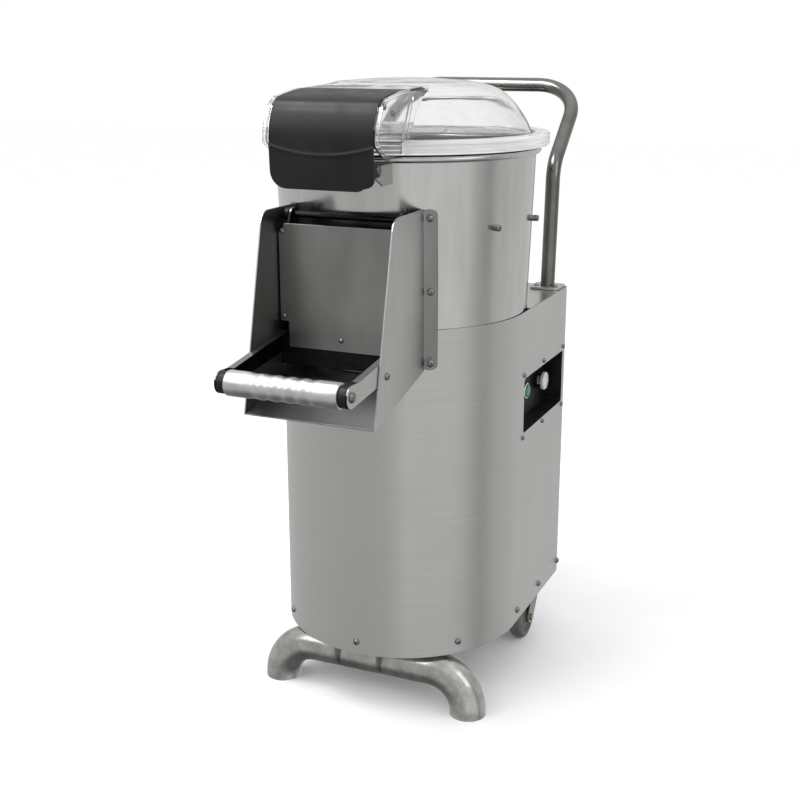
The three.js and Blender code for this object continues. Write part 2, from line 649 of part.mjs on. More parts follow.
// ---------------------------------------------------------------- lid
function buildLid() {
  const crown = bandTop + lidRise;
  const domeRadius = lidRadius - domeInset;
  // Radius as a share of the dome's, height as a share of its rise.
  const curve = [[1, 0], [0.985, 0.05], [0.927, 0.3], [0.839, 0.57], [0.732, 0.79], [0.561, 0.92],
    [0.488, 0.94], [0, 1]];
  const dome = (wall) => curve.map(([r, h]) =>
    [Math.max(0, r * domeRadius - wall), bandTop + h * lidRise - wall]);
  const outer = turned([[0, lidBase], [domeRadius, lidBase], ...dome(0)]);
  const inner = turned([[0, lidBase - 1], [domeRadius - lidWall, lidBase - 1], ...dome(lidWall)]);
  const band = turned([
    [lidRadius - lidBandWidth, lidBase], [lidRadius - 1.5, lidBase], [lidRadius, lidBase + 2],
    [lidRadius, bandTop - 2], [lidRadius - 1.5, bandTop],
    [lidRadius - lidBandWidth, bandTop],
  ]);
  const front = -lidRadius - visorReach;
  const visor = (wall, floor) => rounded([
    [-lidRadius / 2, floor], [front + 29 + wall, floor, 6], [front + wall, lidBase + 21, 8],
    [front + 3 + wall, lidBase + 43, 20], [front + 16 + wall, crown - 33, 16],
    [front + 34 + wall, crown - 20.5 - wall, 20], [hoodBackEdge - 24, crown - 12 - wall],
    [-lidRadius / 2, crown - 8 - wall],
  ], 2);
  const shell = cut(join(outer, prism(alongX, visor(0, lidBase + 1), -visorHalfWidth, visorHalfWidth)),
    inner, prism(alongX, visor(lidWall, lidBase - 30), -visorHalfWidth + cheekThickness,
      visorHalfWidth - cheekThickness));
  const open = visorHalfWidth - cheekThickness;
  const flangeEdge = visorHalfWidth + cheekFlange;
  const flanges = cut(prism(alongX, visor(0, lidBase + 1), -flangeEdge, flangeEdge),
    prism(alongX, visor(cheekFlangeThickness, lidBase - 30), -flangeEdge - 1, flangeEdge + 1),
    block(-flangeEdge - 1, flangeEdge + 1, hoodBackEdge, 0, lidBase - 30, crown + 10),
    block(-open, open, front - 10, 0, lidBase - 30, crown + 10));
  const mouth = join(
    block(-open, open, front - 10, hoodBackEdge, bandTop + slip, crown + 10),
    block(-open, open, front - 10, -lidRadius - slip, lidBase - 30, crown + 10));
  const tab = prism(alongZ, rectangle(-tabHalfWidth, tabHalfWidth, lidRadius - 6, lidRadius + tabReach, 8),
    lidBase + 4, lidBase + 9);
  piece('lid', join(cut(shell, mouth), flanges, band, tab), clearPlastic);

  const hoodHalf = open - 0.4;
  const line = rounded([
    [hoodBackEdge - running, crown - 10.6], [hoodBackEdge - 24, crown - 12, 20],
    [front + 34, crown - 20.5, 20], [front + 15, crown - 36, 20], [front + 5, crown - 62, 20],
    [front + 3, lidBase + 8, 10], [front + 6, lidBase - hoodFlap],
  ], 2);
  const hood = prism(alongX, strip(line, -hoodThickness), -hoodHalf, hoodHalf);
  const flapOutline = rounded([
    [-hoodHalf, crown], [-hoodHalf, lidBase - hoodFlap, 25], [hoodHalf, lidBase - hoodFlap, 12],
    [hoodHalf, crown],
  ]);
  const lug = (side) => {
    const near = earOffset + running;
    const edges = [side * near, side * (near + lugThickness)].sort((a, b) => a - b);
    const outline = rounded([
      [front + 7, hingeZ + 34], [front + 7, hingeZ - 14], [hingeY + 9, hingeZ - 9, 8],
      [hingeY + 9, hingeZ + 9, 8], [front + 30, hingeZ + 14],
    ]);
    return cut(prism(alongX, outline, ...edges),
      turnedAlongX(rodProfile(hingeRodRadius + running, edges[0] - 1, edges[1] + 1), hingeY, hingeZ, 12));
  };
  const trimmed = hood.intersect(prism(alongY, flapOutline, front - 20, 0));
  piece('lid_hood', join(trimmed, lug(-1), lug(1)), blackPlastic);

  piece('rim_gasket', turned(ringProfile(lipRadius - 1 - gasketWidth, lipRadius - 1, rimTop + slip,
    rimTop + slip + gasketThickness)), blackRubber);

  const rodEnd = earOffset + running + lugThickness + 2;
  piece('hinge_rod', turnedAlongX(rodProfile(hingeRodRadius, -rodEnd, rodEnd), hingeY, hingeZ, 12),
    polishedStainless);
  for (const [name, side] of sides) {
    const edges = [side * earOffset, side * (earOffset - earThickness)].sort((a, b) => a - b);
    const outline = [
      [-drumRadius + 20, rimHeight], [hingeY - 9, rimHeight], [hingeY - 11, rimHeight - 12],
      [hingeY + 24, rimHeight - 30], [-drumRadius + 20, rimHeight - 30],
    ];
    piece(`hinge_ear_${name}`, cut(prism(alongX, outline, ...edges), drumEnvelope(slip),
      turnedAlongX(rodProfile(hingeRodRadius + slip, edges[0] - 1, edges[1] + 1), hingeY, hingeZ, 12)),
    stainless);
  }
}

// The outside of the body's front and the drum above it, grown by a clearance.
function drumEnvelope(grow) {
  const reach = bodyHalfWidth + grow;
  return turned([
    [0, bodyBottom], [reach, bodyBottom], [reach, deckTop + grow],
    [Math.max(reach, drumRadiusAt(deckTop + 75) + grow), deckTop + 75],
    [Math.max(reach, drumRadiusAt(rimHeight) + grow), rimHeight + 1], [0, rimHeight + 1],
  ]);
}

// ---------------------------------------------------------------- chute
const chuteLip = bodyFront - chuteLipReach;
const chuteTopFront = bodyFront - chuteTopReach;

function chuteFloorHeight(y) {
  return chuteLipHeight + chuteFloorSlope * (y - chuteLip);
}

function buildChute() {
  const inside = drumEnvelope(slip);
  const back = bodyFront * 0.8;
  const flangeBottom = chuteFloorHeight(-bodyHalfWidth * 0.87) + 1;
  for (const [name, side] of sides) {
    const edges = [side * chuteHalfWidth, side * (chuteHalfWidth - sheet)].sort((a, b) => a - b);
    const plate = prism(alongX, rounded([
      [chuteLip, chuteLipHeight], [back, chuteFloorHeight(back)], [back, chuteTopHeight],
      [chuteTopFront, chuteTopHeight, 22],
    ]), ...edges);
    const reach = [side * (chuteHalfWidth - sheet), side * (chuteHalfWidth + chuteFlangeWidth)]
      .sort((a, b) => a - b);
    const strap = prism(alongY, rectangle(...reach, flangeBottom, chuteTopHeight, 8), bodyFront - 40, 0);
    const flange = cut(drumEnvelope(slip + sheet), inside).intersect(strap);
    piece(`chute_${name}_side`, join(cut(plate, inside), flange), stainless);
  }
  const floorLine = [[chuteLip, chuteFloorHeight(chuteLip)], [back, chuteFloorHeight(back)]];
  const floorPlate = prism(alongX, strip(floorLine, -sheet), -insideChute, insideChute);
  piece('chute_floor', cut(floorPlate, inside), stainless);
}

// ---------------------------------------------------------------- door
function buildDoor() {
  piece('door_pivot_rod', turnedAlongX(rodProfile(rodRadius, -insideChute, insideChute), rodY, rodZ, 12),
    polishedStainless);
  for (const [name, side] of sides) {
    const edges = [side * insideChute, side * (insideChute - bossLength)].sort((a, b) => a - b);
    piece(`pivot_boss_${name}`, turnedAlongX(ringProfile(rodRadius + slip, bossRadius, ...edges),
      rodY, rodZ, 16), blackPlastic);
  }

  const plateHalf = chuteHalfWidth - 2 * sheet;
  const stepHalf = plateHalf - doorStepInset;
  const notchHalf = plateHalf - notchWidth;
  const plateTop = doorPlateBottom + doorPlateHeight;
  const notchBottom = plateTop - notchHeight;
  const stepTop = doorPlateBottom + doorStepHeight;
  const plateOutline = rounded([
    [-stepHalf, doorPlateBottom, 2], [stepHalf, doorPlateBottom, 2], [stepHalf, stepTop],
    [plateHalf, stepTop, 4], [plateHalf, notchBottom], [notchHalf, notchBottom],
    [notchHalf, plateTop], [-notchHalf, plateTop], [-notchHalf, notchBottom],
    [-plateHalf, notchBottom], [-plateHalf, stepTop, 4], [-stepHalf, stepTop],
  ]);
  piece('door_plate', prism(alongY, plateOutline, doorPlateY - sheet, doorPlateY), stainless);

  const armTop = stepTop - armDrop;
  const backOutline = [
    [-armOuter, openingBottom], [armOuter, openingBottom], [armOuter, armTop + 1],
    [openingHalfWidth, armTop + 1], [openingHalfWidth, openingTop + 12],
    [-openingHalfWidth, openingTop + 12], [-openingHalfWidth, armTop + 1], [-armOuter, armTop + 1],
  ];
  const back = prism(alongY, backOutline, frameBackY, frameBackY + sheet);
  const armBack = frameBackY + sheet / 2;
  const armEnd = gripY + 22;
  const endRadius = armHeight / 2;
  const topFront = gripHeight + endRadius - 1;
  const armOutline = [
    [armBack, armTop], [armEnd, topFront],
    ...arc(gripY, gripHeight, endRadius, Math.PI / 2, (3 * Math.PI) / 2, 8),
    [armBack, armTop - armHeight],
  ];
  const flangeOutline = [[armBack, armTop], [armEnd, topFront], [armEnd, topFront - sheet],
    [armBack, armTop - sheet]];
  const arms = [-1, 1].flatMap((side) => {
    const web = [side * armOuter, side * (armOuter - sheet)].sort((a, b) => a - b);
    const flange = [side * armOuter, side * (armOuter - armTopFlange)].sort((a, b) => a - b);
    const bolt = turnedAlongX(rodProfile(gripRodRadius + slip, web[0] - 1, web[1] + 1),
      gripY, gripHeight, 12);
    return [cut(prism(alongX, armOutline, ...web), bolt), prism(alongX, flangeOutline, ...flange)];
  });
  const eyes = [-1, 1].map((side) => {
    const eyeOuter = insideChute - bossLength - slip - 3;
    const edges = [side * eyeOuter, side * (eyeOuter - 3)].sort((a, b) => a - b);
    const outline = rounded([
      [frameBackY + 0.5, openingTop - 4], [rodY + 10, openingTop + 12, 4], [rodY + 10, rodZ + 10, 9],
      [rodY - 10, rodZ + 10, 9], [frameBackY + 0.5, openingTop + 10],
    ]);
    return cut(prism(alongX, outline, ...edges),
      turnedAlongX(rodProfile(rodRadius + running, edges[0] - 1, edges[1] + 1), rodY, rodZ, 12));
  });
  piece('door_frame', join(back, ...arms, ...eyes), stainless);

  const plugHalf = openingHalfWidth - 4;
  const plugTop = openingTop - 10;
  const bore = drumRadius - drumSheet - linerThickness + running;
  const plug = prism(alongX, rectangle(frameBackY + sheet + slip, bodyFront * 0.8, openingBottom + 8,
    plugTop, 4), -plugHalf, plugHalf);
  const bowl = turned(rodProfile(bore, openingBottom, plugTop + 5));
  piece('door_plug', cut(plug, bowl), blackPlastic);

  const groove = [];
  const grooveSteps = gripGrooves * 4;
  for (let i = 0; i <= grooveSteps; i += 1) {
    const x = (i / grooveSteps - 0.5) * gripGrooves * groovePitch;
    groove.push([gripRadius - (grooveDepth / 2) * (1 - Math.cos((2 * Math.PI * i) / 4)), x]);
  }
  piece('grip', turnedAlongX([
    [gripRodRadius + slip, -gripHalfLength], [gripRadius - 1.5, -gripHalfLength],
    [gripRadius, -gripHalfLength + 2], ...groove, [gripRadius, gripHalfLength - 2],
    [gripRadius - 1.5, gripHalfLength], [gripRodRadius + slip, gripHalfLength],
  ], gripY, gripHeight, 24), turnedAluminium);
  for (const [name, side] of sides) {
    const edges = [side * (gripHalfLength + slip), side * (gripHalfLength + ringThickness)]
      .sort((a, b) => a - b);
    const ring = ringProfile(gripRodRadius + slip, gripRadius - ringInset, ...edges);
    piece(`grip_ring_${name}`, turnedAlongX(ring, gripY, gripHeight, 24), blackPlastic);
  }
  const headFace = armOuter + slip;
  const headEnd = headFace + 4.5;
  piece('grip_rod', turnedAlongX([
    [0, -headEnd], [gripRodRadius + 2, -headEnd], [gripRodRadius + 2, -headFace],
    [gripRodRadius, -headFace], [gripRodRadius, headFace], [gripRodRadius + 2, headFace],
    [gripRodRadius + 2, headEnd], [0, headEnd],
  ], gripY, gripHeight, 12), chrome);
}

// ---------------------------------------------------------------- control panel
function buildControls() {
  const backFace = wallInside - recessDepth;
  const w = recessWall;
  const outer = prism(alongX, rectangle(recessFront - w, recessRear + w, recessBottom - w, recessTop + w,
    6 + w), backFace - w, wallInside - slip);
  const rim = prism(alongX, rectangle(recessFront - 12, recessRear + 10, recessBottom - recessRim,
    recessTop + recessRim, 6), wallInside - slip - w, wallInside - slip);
  const inner = prism(alongX, rectangle(recessFront, recessRear, recessBottom, recessTop, 6),
    backFace, wallInside + 1);
  const stemRadius = buttonRadius - 3;
  const stemHole = (y) => turnedAlongX(rodProfile(stemRadius + running, backFace - w - 1, backFace + 1),
    y, buttonHeight, 20);
  piece('control_box', cut(join(outer, rim), inner, stemHole(startButtonY),
    stemHole(stopButtonY)), blackPlastic);

  const bezel = (length) => ringProfile(buttonRadius + running, bezelRadius, backFace + slip,
    backFace + slip + length);
  piece('start_bezel', turnedAlongX(bezel(8), startButtonY, buttonHeight), chrome);
  piece('stop_bezel', turnedAlongX(bezel(5), stopButtonY, buttonHeight), chrome);
  piece('start_button', turnedAlongX([
    [0, backFace - w], [stemRadius, backFace - w], [stemRadius, backFace + 5],
    [buttonRadius, backFace + 5], [buttonRadius, backFace + 9.5], [buttonRadius - 2, backFace + 11],
    [0, backFace + 11],
  ], startButtonY, buttonHeight), greenPlastic);
  piece('stop_button', turnedAlongX([
    [0, backFace - w], [stemRadius, backFace - w], [stemRadius, backFace + 11],
    [stopCapRadius, backFace + 11], [stopCapRadius, backFace + 16], [stopCapRadius - 3, backFace + 18],
    [0, backFace + 18.5],
  ], stopButtonY, buttonHeight), whitePlastic);
  const blockFront = backFace - w - 5;
  piece('switch_block', block(blockFront - 32, blockFront, startButtonY - 22, stopButtonY + 22,
    buttonHeight - 20, buttonHeight + 20), blackPlastic);
}

// ---------------------------------------------------------------- push handle
function buildHandle() {
  const footTrim = 10; // the leaning legs are cut level with the deck
  const flangeTop = deckTop + slip + flangeThickness;
  const rise = Math.cos(handleTilt) / Math.sin(handleTilt);
  const kneeRise = handleBendHeight + handleBend * Math.tan((handleTilt - handleLean) / 2);
  const kneeY = handleFoot + kneeRise * Math.tan(handleLean);
  const kneeZ = deckTop + kneeRise;
  const barZ = kneeZ + (handleReach - kneeY) * rise;
  const leg = (side) => [
    { at: new THREE.Vector3(side * handleHalfWidth, handleFoot - footTrim * Math.tan(handleLean),
      deckTop - footTrim) },
    { at: new THREE.Vector3(side * handleHalfWidth, kneeY, kneeZ), bend: handleBend },
    { at: new THREE.Vector3(side * handleHalfWidth, handleReach, barZ), bend: handleCorner },
  ];
  const tube = bentTube([...leg(-1), ...leg(1).reverse()], handleTubeRadius, 12, 48);
  const trim = block(-bodyHalfWidth, bodyHalfWidth, 0, bodyRear, deckTop - 2 * footTrim, deckTop + slip);
  piece('push_handle', cut(tube, trim), polishedStainless);
  for (const [name, side] of sides) {
    const x = side * handleHalfWidth;
    const outline = rounded([
      [x - flangeReach, handleFoot - flangeReach, 10], [x + flangeReach, handleFoot - flangeReach, 10],
      [x + flangeReach, handleFoot + flangeReach, 10], [x - flangeReach, handleFoot + flangeReach, 10],
    ]);
    const hole = turned(rodProfile(handleTubeRadius + running, deckTop, flangeTop + 1),
      { x, y: handleFoot, around: 16 });
    piece(`handle_flange_${name}`, cut(prism(alongZ, outline, deckTop + slip, flangeTop), hole),
      stainless);
  }
}

// ---------------------------------------------------------------- feet and castors
function buildFeet() {
  const axis = panBottom - slip - footTubeRadius;
  const corner = (side) => new THREE.Vector3(side * footHalfTrack, -footForward, axis);
  const floor = (side) => new THREE.Vector3(side * footHalfTrack, -footForward, 0);
  const bend = axis - footLeg;
  piece('front_foot', bentTube([
    { at: floor(-1) }, { at: corner(-1), bend }, { at: corner(1), bend },
    { at: floor(1) },
  ], footTubeRadius, 16, 30), polishedStainless);
  const tube = turnedAlongX(rodProfile(footTubeRadius + slip, -footHalfTrack / 2, footHalfTrack / 2),
    -footForward, axis, 24);
  const front = -footForward - gussetReach;
  for (const [name, x] of gussetPlaces) {
    const outline = [
      [front, panBottom - slip], [front, axis], [front + gussetToe, axis - gussetLap],
      [-footForward, axis - gussetLap],
      [-footForward, panBottom - slip],
    ];
    piece(`foot_gusset_${name}`, cut(prism(alongX, outline, x - gussetThickness / 2,
      x + gussetThickness / 2), tube), stainless);
  }

  const carrierBottom = panBottom - slip - carrierThickness;
  piece('castor_carrier', prism(alongZ, rectangle(-castorTrack - carrierMargin,
    castorTrack + carrierMargin, castorPivot - carrierReach, bodyRear - carrierSetback, 8),
  carrierBottom, panBottom - slip), blackPlastic);
  const headTop = carrierBottom - running;
  const headBottom = headTop - castorHeadHeight;
  const half = wheelWidth / 2;
  for (const [name, side] of sides) {
    const x = side * castorTrack;
    const wheelY = castorPivot - castorTrail;
    const crown = turned([
      [0, headBottom], [castorHeadRadius, headBottom], [castorHeadRadius, headTop - 5],
      [castorHeadRadius - 5, headTop], [0, headTop],
    ], { x, y: castorPivot, around: 16 });
    const legs = [-1, 1].map((hand) => {
      const edges = [x + hand * (half + forkGap), x + hand * (half + forkGap + forkPlate)]
        .sort((a, b) => a - b);
      const outline = rounded([
        [castorPivot - castorHeadRadius, headTop - 6], [wheelY - forkEnd, wheelRadius - 4, 12],
        [wheelY + forkEnd / 2, wheelRadius - forkEnd, 12], [castorPivot + castorHeadRadius, headTop - 6],
      ]);
      return cut(prism(alongX, outline, ...edges),
        turnedAlongX(rodProfile(axleRadius + slip, edges[0] - 1, edges[1] + 1), wheelY, wheelRadius, 12));
    });
    const yoke = block(x - half - 4, x + half + 4, castorPivot - castorHeadRadius + 2,
      castorPivot + castorHeadRadius - 2, headBottom, headTop - 6);
    piece(`castor_fork_${name}`, join(crown, yoke, ...legs), zincSteel);
    piece(`castor_wheel_${name}`, turnedAlongX([
      [axleRadius + slip, x - half], [wheelRadius - 6, x - half], [wheelRadius - 1.5, x - half + 3],
      [wheelRadius, x - half + 8], [wheelRadius, x + half - 8], [wheelRadius - 1.5, x + half - 3],
      [wheelRadius - 6, x + half], [axleRadius + slip, x + half],
    ], wheelY, wheelRadius, 28), greyRubber);
    const axleEnd = half + forkGap + forkPlate + 4;
    piece(`castor_axle_${name}`, turnedAlongX(rodProfile(axleRadius, x - axleEnd, x + axleEnd),
      wheelY, wheelRadius, 12), zincSteel);
  }
}

buildBody();
buildDrum();
buildDrive();
buildLid();
buildChute();
buildDoor();
buildControls();
buildHandle();
buildFeet();

// The origin goes to the floor under the middle of the machine's length.
const frontEnd = gripY - gripRadius;
const rearEnd = handleReach + handleTubeRadius;
machine.position.y = -(frontEnd + rearEnd) / 2;

const peeler = new THREE.Group();
peeler.add(machine);

export default peeler;
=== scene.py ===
# Looks of a floor-standing potato peeler: brushed stainless body and drum, clear moulded lid with a
# black hood, sheet-metal chute with a lever door, tube foot, castors and a bent push handle.
# Shapes are worked out in millimetres, fore and aft from the drum's axis, and turned into metres in
# the frame of the machine when a piece is finished.
import json
import math

import bmesh
import bpy
from mathutils import Matrix, Vector

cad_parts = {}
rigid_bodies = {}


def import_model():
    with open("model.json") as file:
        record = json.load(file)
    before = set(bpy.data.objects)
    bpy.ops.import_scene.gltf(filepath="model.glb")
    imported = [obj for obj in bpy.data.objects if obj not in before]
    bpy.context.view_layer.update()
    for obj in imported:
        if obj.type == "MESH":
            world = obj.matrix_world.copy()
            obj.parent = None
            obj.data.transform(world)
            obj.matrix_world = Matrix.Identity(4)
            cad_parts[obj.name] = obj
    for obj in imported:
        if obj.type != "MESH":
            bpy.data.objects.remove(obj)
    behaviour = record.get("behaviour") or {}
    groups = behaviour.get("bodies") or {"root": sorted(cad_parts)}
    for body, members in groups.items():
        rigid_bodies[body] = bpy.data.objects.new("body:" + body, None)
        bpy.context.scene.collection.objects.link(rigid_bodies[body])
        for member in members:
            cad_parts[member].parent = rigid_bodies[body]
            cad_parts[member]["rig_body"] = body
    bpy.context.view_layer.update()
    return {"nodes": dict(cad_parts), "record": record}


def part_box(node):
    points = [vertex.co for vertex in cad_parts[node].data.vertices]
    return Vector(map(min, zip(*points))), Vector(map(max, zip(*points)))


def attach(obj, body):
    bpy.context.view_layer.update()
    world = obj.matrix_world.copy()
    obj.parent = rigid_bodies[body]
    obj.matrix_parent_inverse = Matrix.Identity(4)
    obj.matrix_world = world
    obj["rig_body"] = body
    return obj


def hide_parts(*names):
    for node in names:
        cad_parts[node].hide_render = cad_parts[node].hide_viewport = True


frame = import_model()
scene = bpy.context.scene

MM = 0.001
drum_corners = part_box("drum")
AXIS_Y = (drum_corners[0].y + drum_corners[1].y) / 2  # the drum's axis, at x = 0
SIDES = (("left", -1), ("right", 1))
SLOT_OF = {row["node"]: row["material_slot"] for row in frame["record"]["subparts"]}


def span(node):
    """Lowest and highest corner of a node in millimetres, fore and aft from the drum's axis."""
    return [(corner - Vector((0, AXIS_Y, 0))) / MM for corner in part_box(node)]


# ---------------------------------------------------------------- sizes read from the frame
body_low, body_high = span("body_shell")
drum_low, drum_high = span("drum")
lid_low, lid_high = span("lid")
hood_low, hood_high = span("lid_hood")
grip_low, grip_high = span("grip")
recess_low, recess_high = span("control_box")
bar_low, bar_high = span("push_handle")
foot_low, foot_high = span("front_foot")

SHEET = 2.0  # stainless sheet
BODY_SHEET = 1.2  # at the body's edges, which leaves a dark line round the drum
BODY_RADIUS = body_high.x
CORNER_RADIUS = 12.0  # the body's two rear corners
REAR_FLANGE = 28.0  # turned in behind the rear panel
DRUM_RADIUS = BODY_RADIUS - SHEET - 0.6  # just clear of the body's sheet
DECK = body_high.z
RIM = drum_high.z
RIM_BEAD = 5.5  # radius of the rolled rim
RIM_BOTTOM = RIM - 2 * RIM_BEAD
LIP_RADIUS = drum_high.x
LID_RADIUS = lid_high.x
CROWN = lid_high.z
LID_BASE = lid_low.z
FRONT = lid_low.y  # front of the lid's cheeks
HOOD_BACK = 40 - LID_RADIUS  # back edge of the dome's opening under the hood
CHUTE_HALF = 107.0  # half width over the chute's sides

TO_FRAME = Matrix.Translation((0, AXIS_Y, 0)) @ Matrix.Scale(MM, 4)  # from mm to the machine's frame


# ---------------------------------------------------------------- outlines
def arc(u, v, radius, start, end, steps):
    """Points on an arc round (u, v), angles in radians."""
    turn = [start + (end - start) * i / steps for i in range(steps + 1)]
    return [(u + radius * math.cos(t), v + radius * math.sin(t)) for t in turn]


def corner_bend(before, here, after, radius):
    """Centre of the arc that rounds a corner, and the way from there to each end of it."""
    back = (before - here).normalized()
    ahead = (after - here).normalized()
    half = back.angle(ahead) / 2
    middle = here + (back + ahead).normalized() * radius / math.sin(half)
    first = here + back * radius / math.tan(half) - middle
    last = here + ahead * radius / math.tan(half) - middle
    return middle, first, last


def rounded(corners, steps=6):
    """A polygon of (u, v) or (u, v, radius) corners with its corners rounded."""
    points = []
    for i, corner in enumerate(corners):
        here = Vector(corner[:2])
        radius = corner[2] if len(corner) > 2 else 0
        if not radius:
            points.append(tuple(here))
            continue
        before, after = (Vector(corners[k % len(corners)][:2]) for k in (i - 1, i + 1))
        middle, first, last = corner_bend(before, here, after, radius)
        start = math.atan2(first.y, first.x)
        sweep = (math.atan2(last.y, last.x) - start + math.pi) % (2 * math.pi) - math.pi
        points += arc(middle.x, middle.y, radius, start, start + sweep, steps)
    return points


def rectangle(u0, u1, v0, v1, radius=0, steps=6):
    return rounded([(u0, v0, radius), (u1, v0, radius), (u1, v1, radius), (u0, v1, radius)], steps)


def eased_line(points, steps=6):
    """A smooth line through (u, v) points, by Catmull and Rom's rule."""
    line = []
    padded = [points[0], *points, points[-1]]
    for p0, p1, p2, p3 in zip(padded, padded[1:], padded[2:], padded[3:]):
        a, b, c, d = (Vector(p) for p in (p0, p1, p2, p3))
        for i in range(steps):
            t = i / steps
            line.append(tuple(0.5 * (2 * b + (c - a) * t + (2 * a - 5 * b + 4 * c - d) * t * t
                                     + (3 * b - a - 3 * c + d) * t ** 3)))
    return [*line, tuple(points[-1])]


def body_outline(inset, steps=96):
    """The body in plan: a half round front, flat sides and two rounded rear corners."""
    x, y = BODY_RADIUS - CORNER_RADIUS, body_high.y - CORNER_RADIUS
    return [
        *arc(-x, y, CORNER_RADIUS - inset, math.pi / 2, math.pi, 8),
        *arc(0, 0, BODY_RADIUS - inset, math.pi, 2 * math.pi, steps),
        *arc(x, y, CORNER_RADIUS - inset, 0, math.pi / 2, 8),
    ]


def drum_radius(height):
    """Outside radius of the drum, which flares a little towards its rim."""
    setback = 8  # from the rim's edge to the wall under it
    flare = (LIP_RADIUS - setback - DRUM_RADIUS) / (RIM_BOTTOM - DECK)
    return DRUM_RADIUS + flare * max(0, height - DECK)


# ---------------------------------------------------------------- solids
AXES = {
    "X": ((0, 1, 0), (0, 0, 1), (1, 0, 0)),
    "Y": ((1, 0, 0), (0, 0, 1), (0, 1, 0)),
    "Z": ((1, 0, 0), (0, 1, 0), (0, 0, 1)),
}


def prism(bm, outline, axis, start, end):
    """A closed outline carried from one place on an axis to another."""
    u, v, w = (Vector(direction) for direction in AXES[axis])
    near, far = ([bm.verts.new(u * a + v * b + w * place) for a, b in outline]
                 for place in (start, end))
    bm.faces.new(near)
    bm.faces.new(far)
    for i in range(len(outline)):
        bm.faces.new((near[i - 1], near[i], far[i], far[i - 1]))


def lathe(bm, profile, axis="Z", centre=(0, 0), steps=128):
    """A closed profile of (radius, place along the axis) turned round the axis through centre."""
    u, v, w = (Vector(direction) for direction in AXES[axis])
    middle = u * centre[0] + v * centre[1]
    turns = [2 * math.pi * i / steps for i in range(steps)]
    rings = []
    for radius, place in profile:
        if radius < 1e-6:
            rings.append([bm.verts.new(middle + w * place)] * steps)
        else:
            rings.append([bm.verts.new(middle + w * place
                                       + radius * (u * math.cos(t) + v * math.sin(t)))
                          for t in turns])
    for near, far in zip(rings, rings[1:] + rings[:1]):
        for i in range(steps):
            corners = list(dict.fromkeys((near[i - 1], near[i], far[i], far[i - 1])))
            if len(corners) > 2:
                bm.faces.new(corners)


def bent_path(corners, steps=14):
    """A line through corner points, each given with its bend radius, as (point, direction) pairs."""
    points = [Vector(corners[0][0])]
    for (before, _), (here, bend), (after, _) in zip(corners, corners[1:], corners[2:]):
        middle, first, last = corner_bend(Vector(before), Vector(here), Vector(after), bend)
        points += [middle + bend * first.normalized().slerp(last.normalized(), i / steps)
                   for i in range(steps + 1)]
    points.append(Vector(corners[-1][0]))
    ways = [(b - a).normalized() for a, b in zip(points, points[1:])]
    ends = [ways[0], *[(a + b).normalized() for a, b in zip(ways, ways[1:])], ways[-1]]
    return list(zip(points, ends))


def tube(bm, path, radius, sides=32, level=None):
    """A round bar along a path; level cuts both ends to that height."""
    across = path[0][1].orthogonal().normalized()
    rings = []
    for number, (point, way) in enumerate(path):
        across = (across - way * across.dot(way)).normalized()
        other = way.cross(across)
        ring = [point + radius * (across * math.cos(t) + other * math.sin(t))
                for t in (2 * math.pi * i / sides for i in range(sides))]
        if level is not None and number in (0, len(path) - 1):
            ring = [p + way * ((level - p.z) / way.z) for p in ring]
        rings.append([bm.verts.new(p) for p in ring])
    for near, far in zip(rings, rings[1:]):
        for i in range(sides):
            bm.faces.new((near[i - 1], near[i], far[i], far[i - 1]))
    bm.faces.new(rings[0])
    bm.faces.new(rings[-1])


def made(name, *steps):
    """An object in metres from functions that draw in millimetres."""
    bm = bmesh.new()
    for draw, *values in steps:
        options = values.pop() if values and isinstance(values[-1], dict) else {}
        draw(bm, *values, **options)
    bmesh.ops.recalc_face_normals(bm, faces=bm.faces)
    bm.transform(TO_FRAME)
    return linked(name, bm)


def linked(name, bm):
    mesh = bpy.data.meshes.new(name)
    bm.to_mesh(mesh)
    bm.free()
    obj = bpy.data.objects.new(name, mesh)
    scene.collection.objects.link(obj)
    return obj


def baked(obj):
    """Makes the object's modifiers real."""
    shape = obj.evaluated_get(bpy.context.evaluated_depsgraph_get())
    mesh = bpy.data.meshes.new_from_object(shape)
    obj.modifiers.clear()
    obj.data = mesh
    return obj


def combined(obj, other, operation="DIFFERENCE"):
    """Cuts, joins or crosses the object with another, which is used up."""
    boolean = obj.modifiers.new("boolean", "BOOLEAN")
    boolean.operation = operation
    boolean.solver = "EXACT"
    boolean.object = other
    baked(obj)
    bpy.data.objects.remove(other)
    return obj


def smoothed(obj, angle=30):
    mesh = obj.data
    mesh.polygons.foreach_set("use_smooth", [True] * len(mesh.polygons))
    mesh.set_sharp_from_angle(angle=math.radians(angle))
    return obj


def broken_edges(obj, width, steps=2, angle=35):
    """Rounds the edges as a deburring tool leaves them; width in millimetres."""
    smoothed(obj)
    bevel = obj.modifiers.new("edges", "BEVEL")
    bevel.width = width * MM
    bevel.segments = steps
    bevel.limit_method = "ANGLE"
    bevel.angle_limit = math.radians(angle)
    bevel.harden_normals = True
    return baked(obj)


def dressed(node, width, steps=2, name=None):
    """A node's own shape with its edges rounded."""
    bm = bmesh.new()
    bm.from_mesh(frame["nodes"][node].data)
    bmesh.ops.remove_doubles(bm, verts=bm.verts, dist=0.01 * MM)
    bmesh.ops.dissolve_limit(bm, angle_limit=math.radians(0.6), verts=bm.verts, edges=bm.edges)
    return broken_edges(linked(name or f"{node}_finished", bm), width, steps)


# ---------------------------------------------------------------- materials
def colour(code):
    """An sRGB hex code as a linear colour."""
    parts = [int(code[i:i + 2], 16) / 255 for i in (1, 3, 5)]
    return (*(c / 12.92 if c <= 0.04045 else ((c + 0.055) / 1.055) ** 2.4 for c in parts), 1.0)


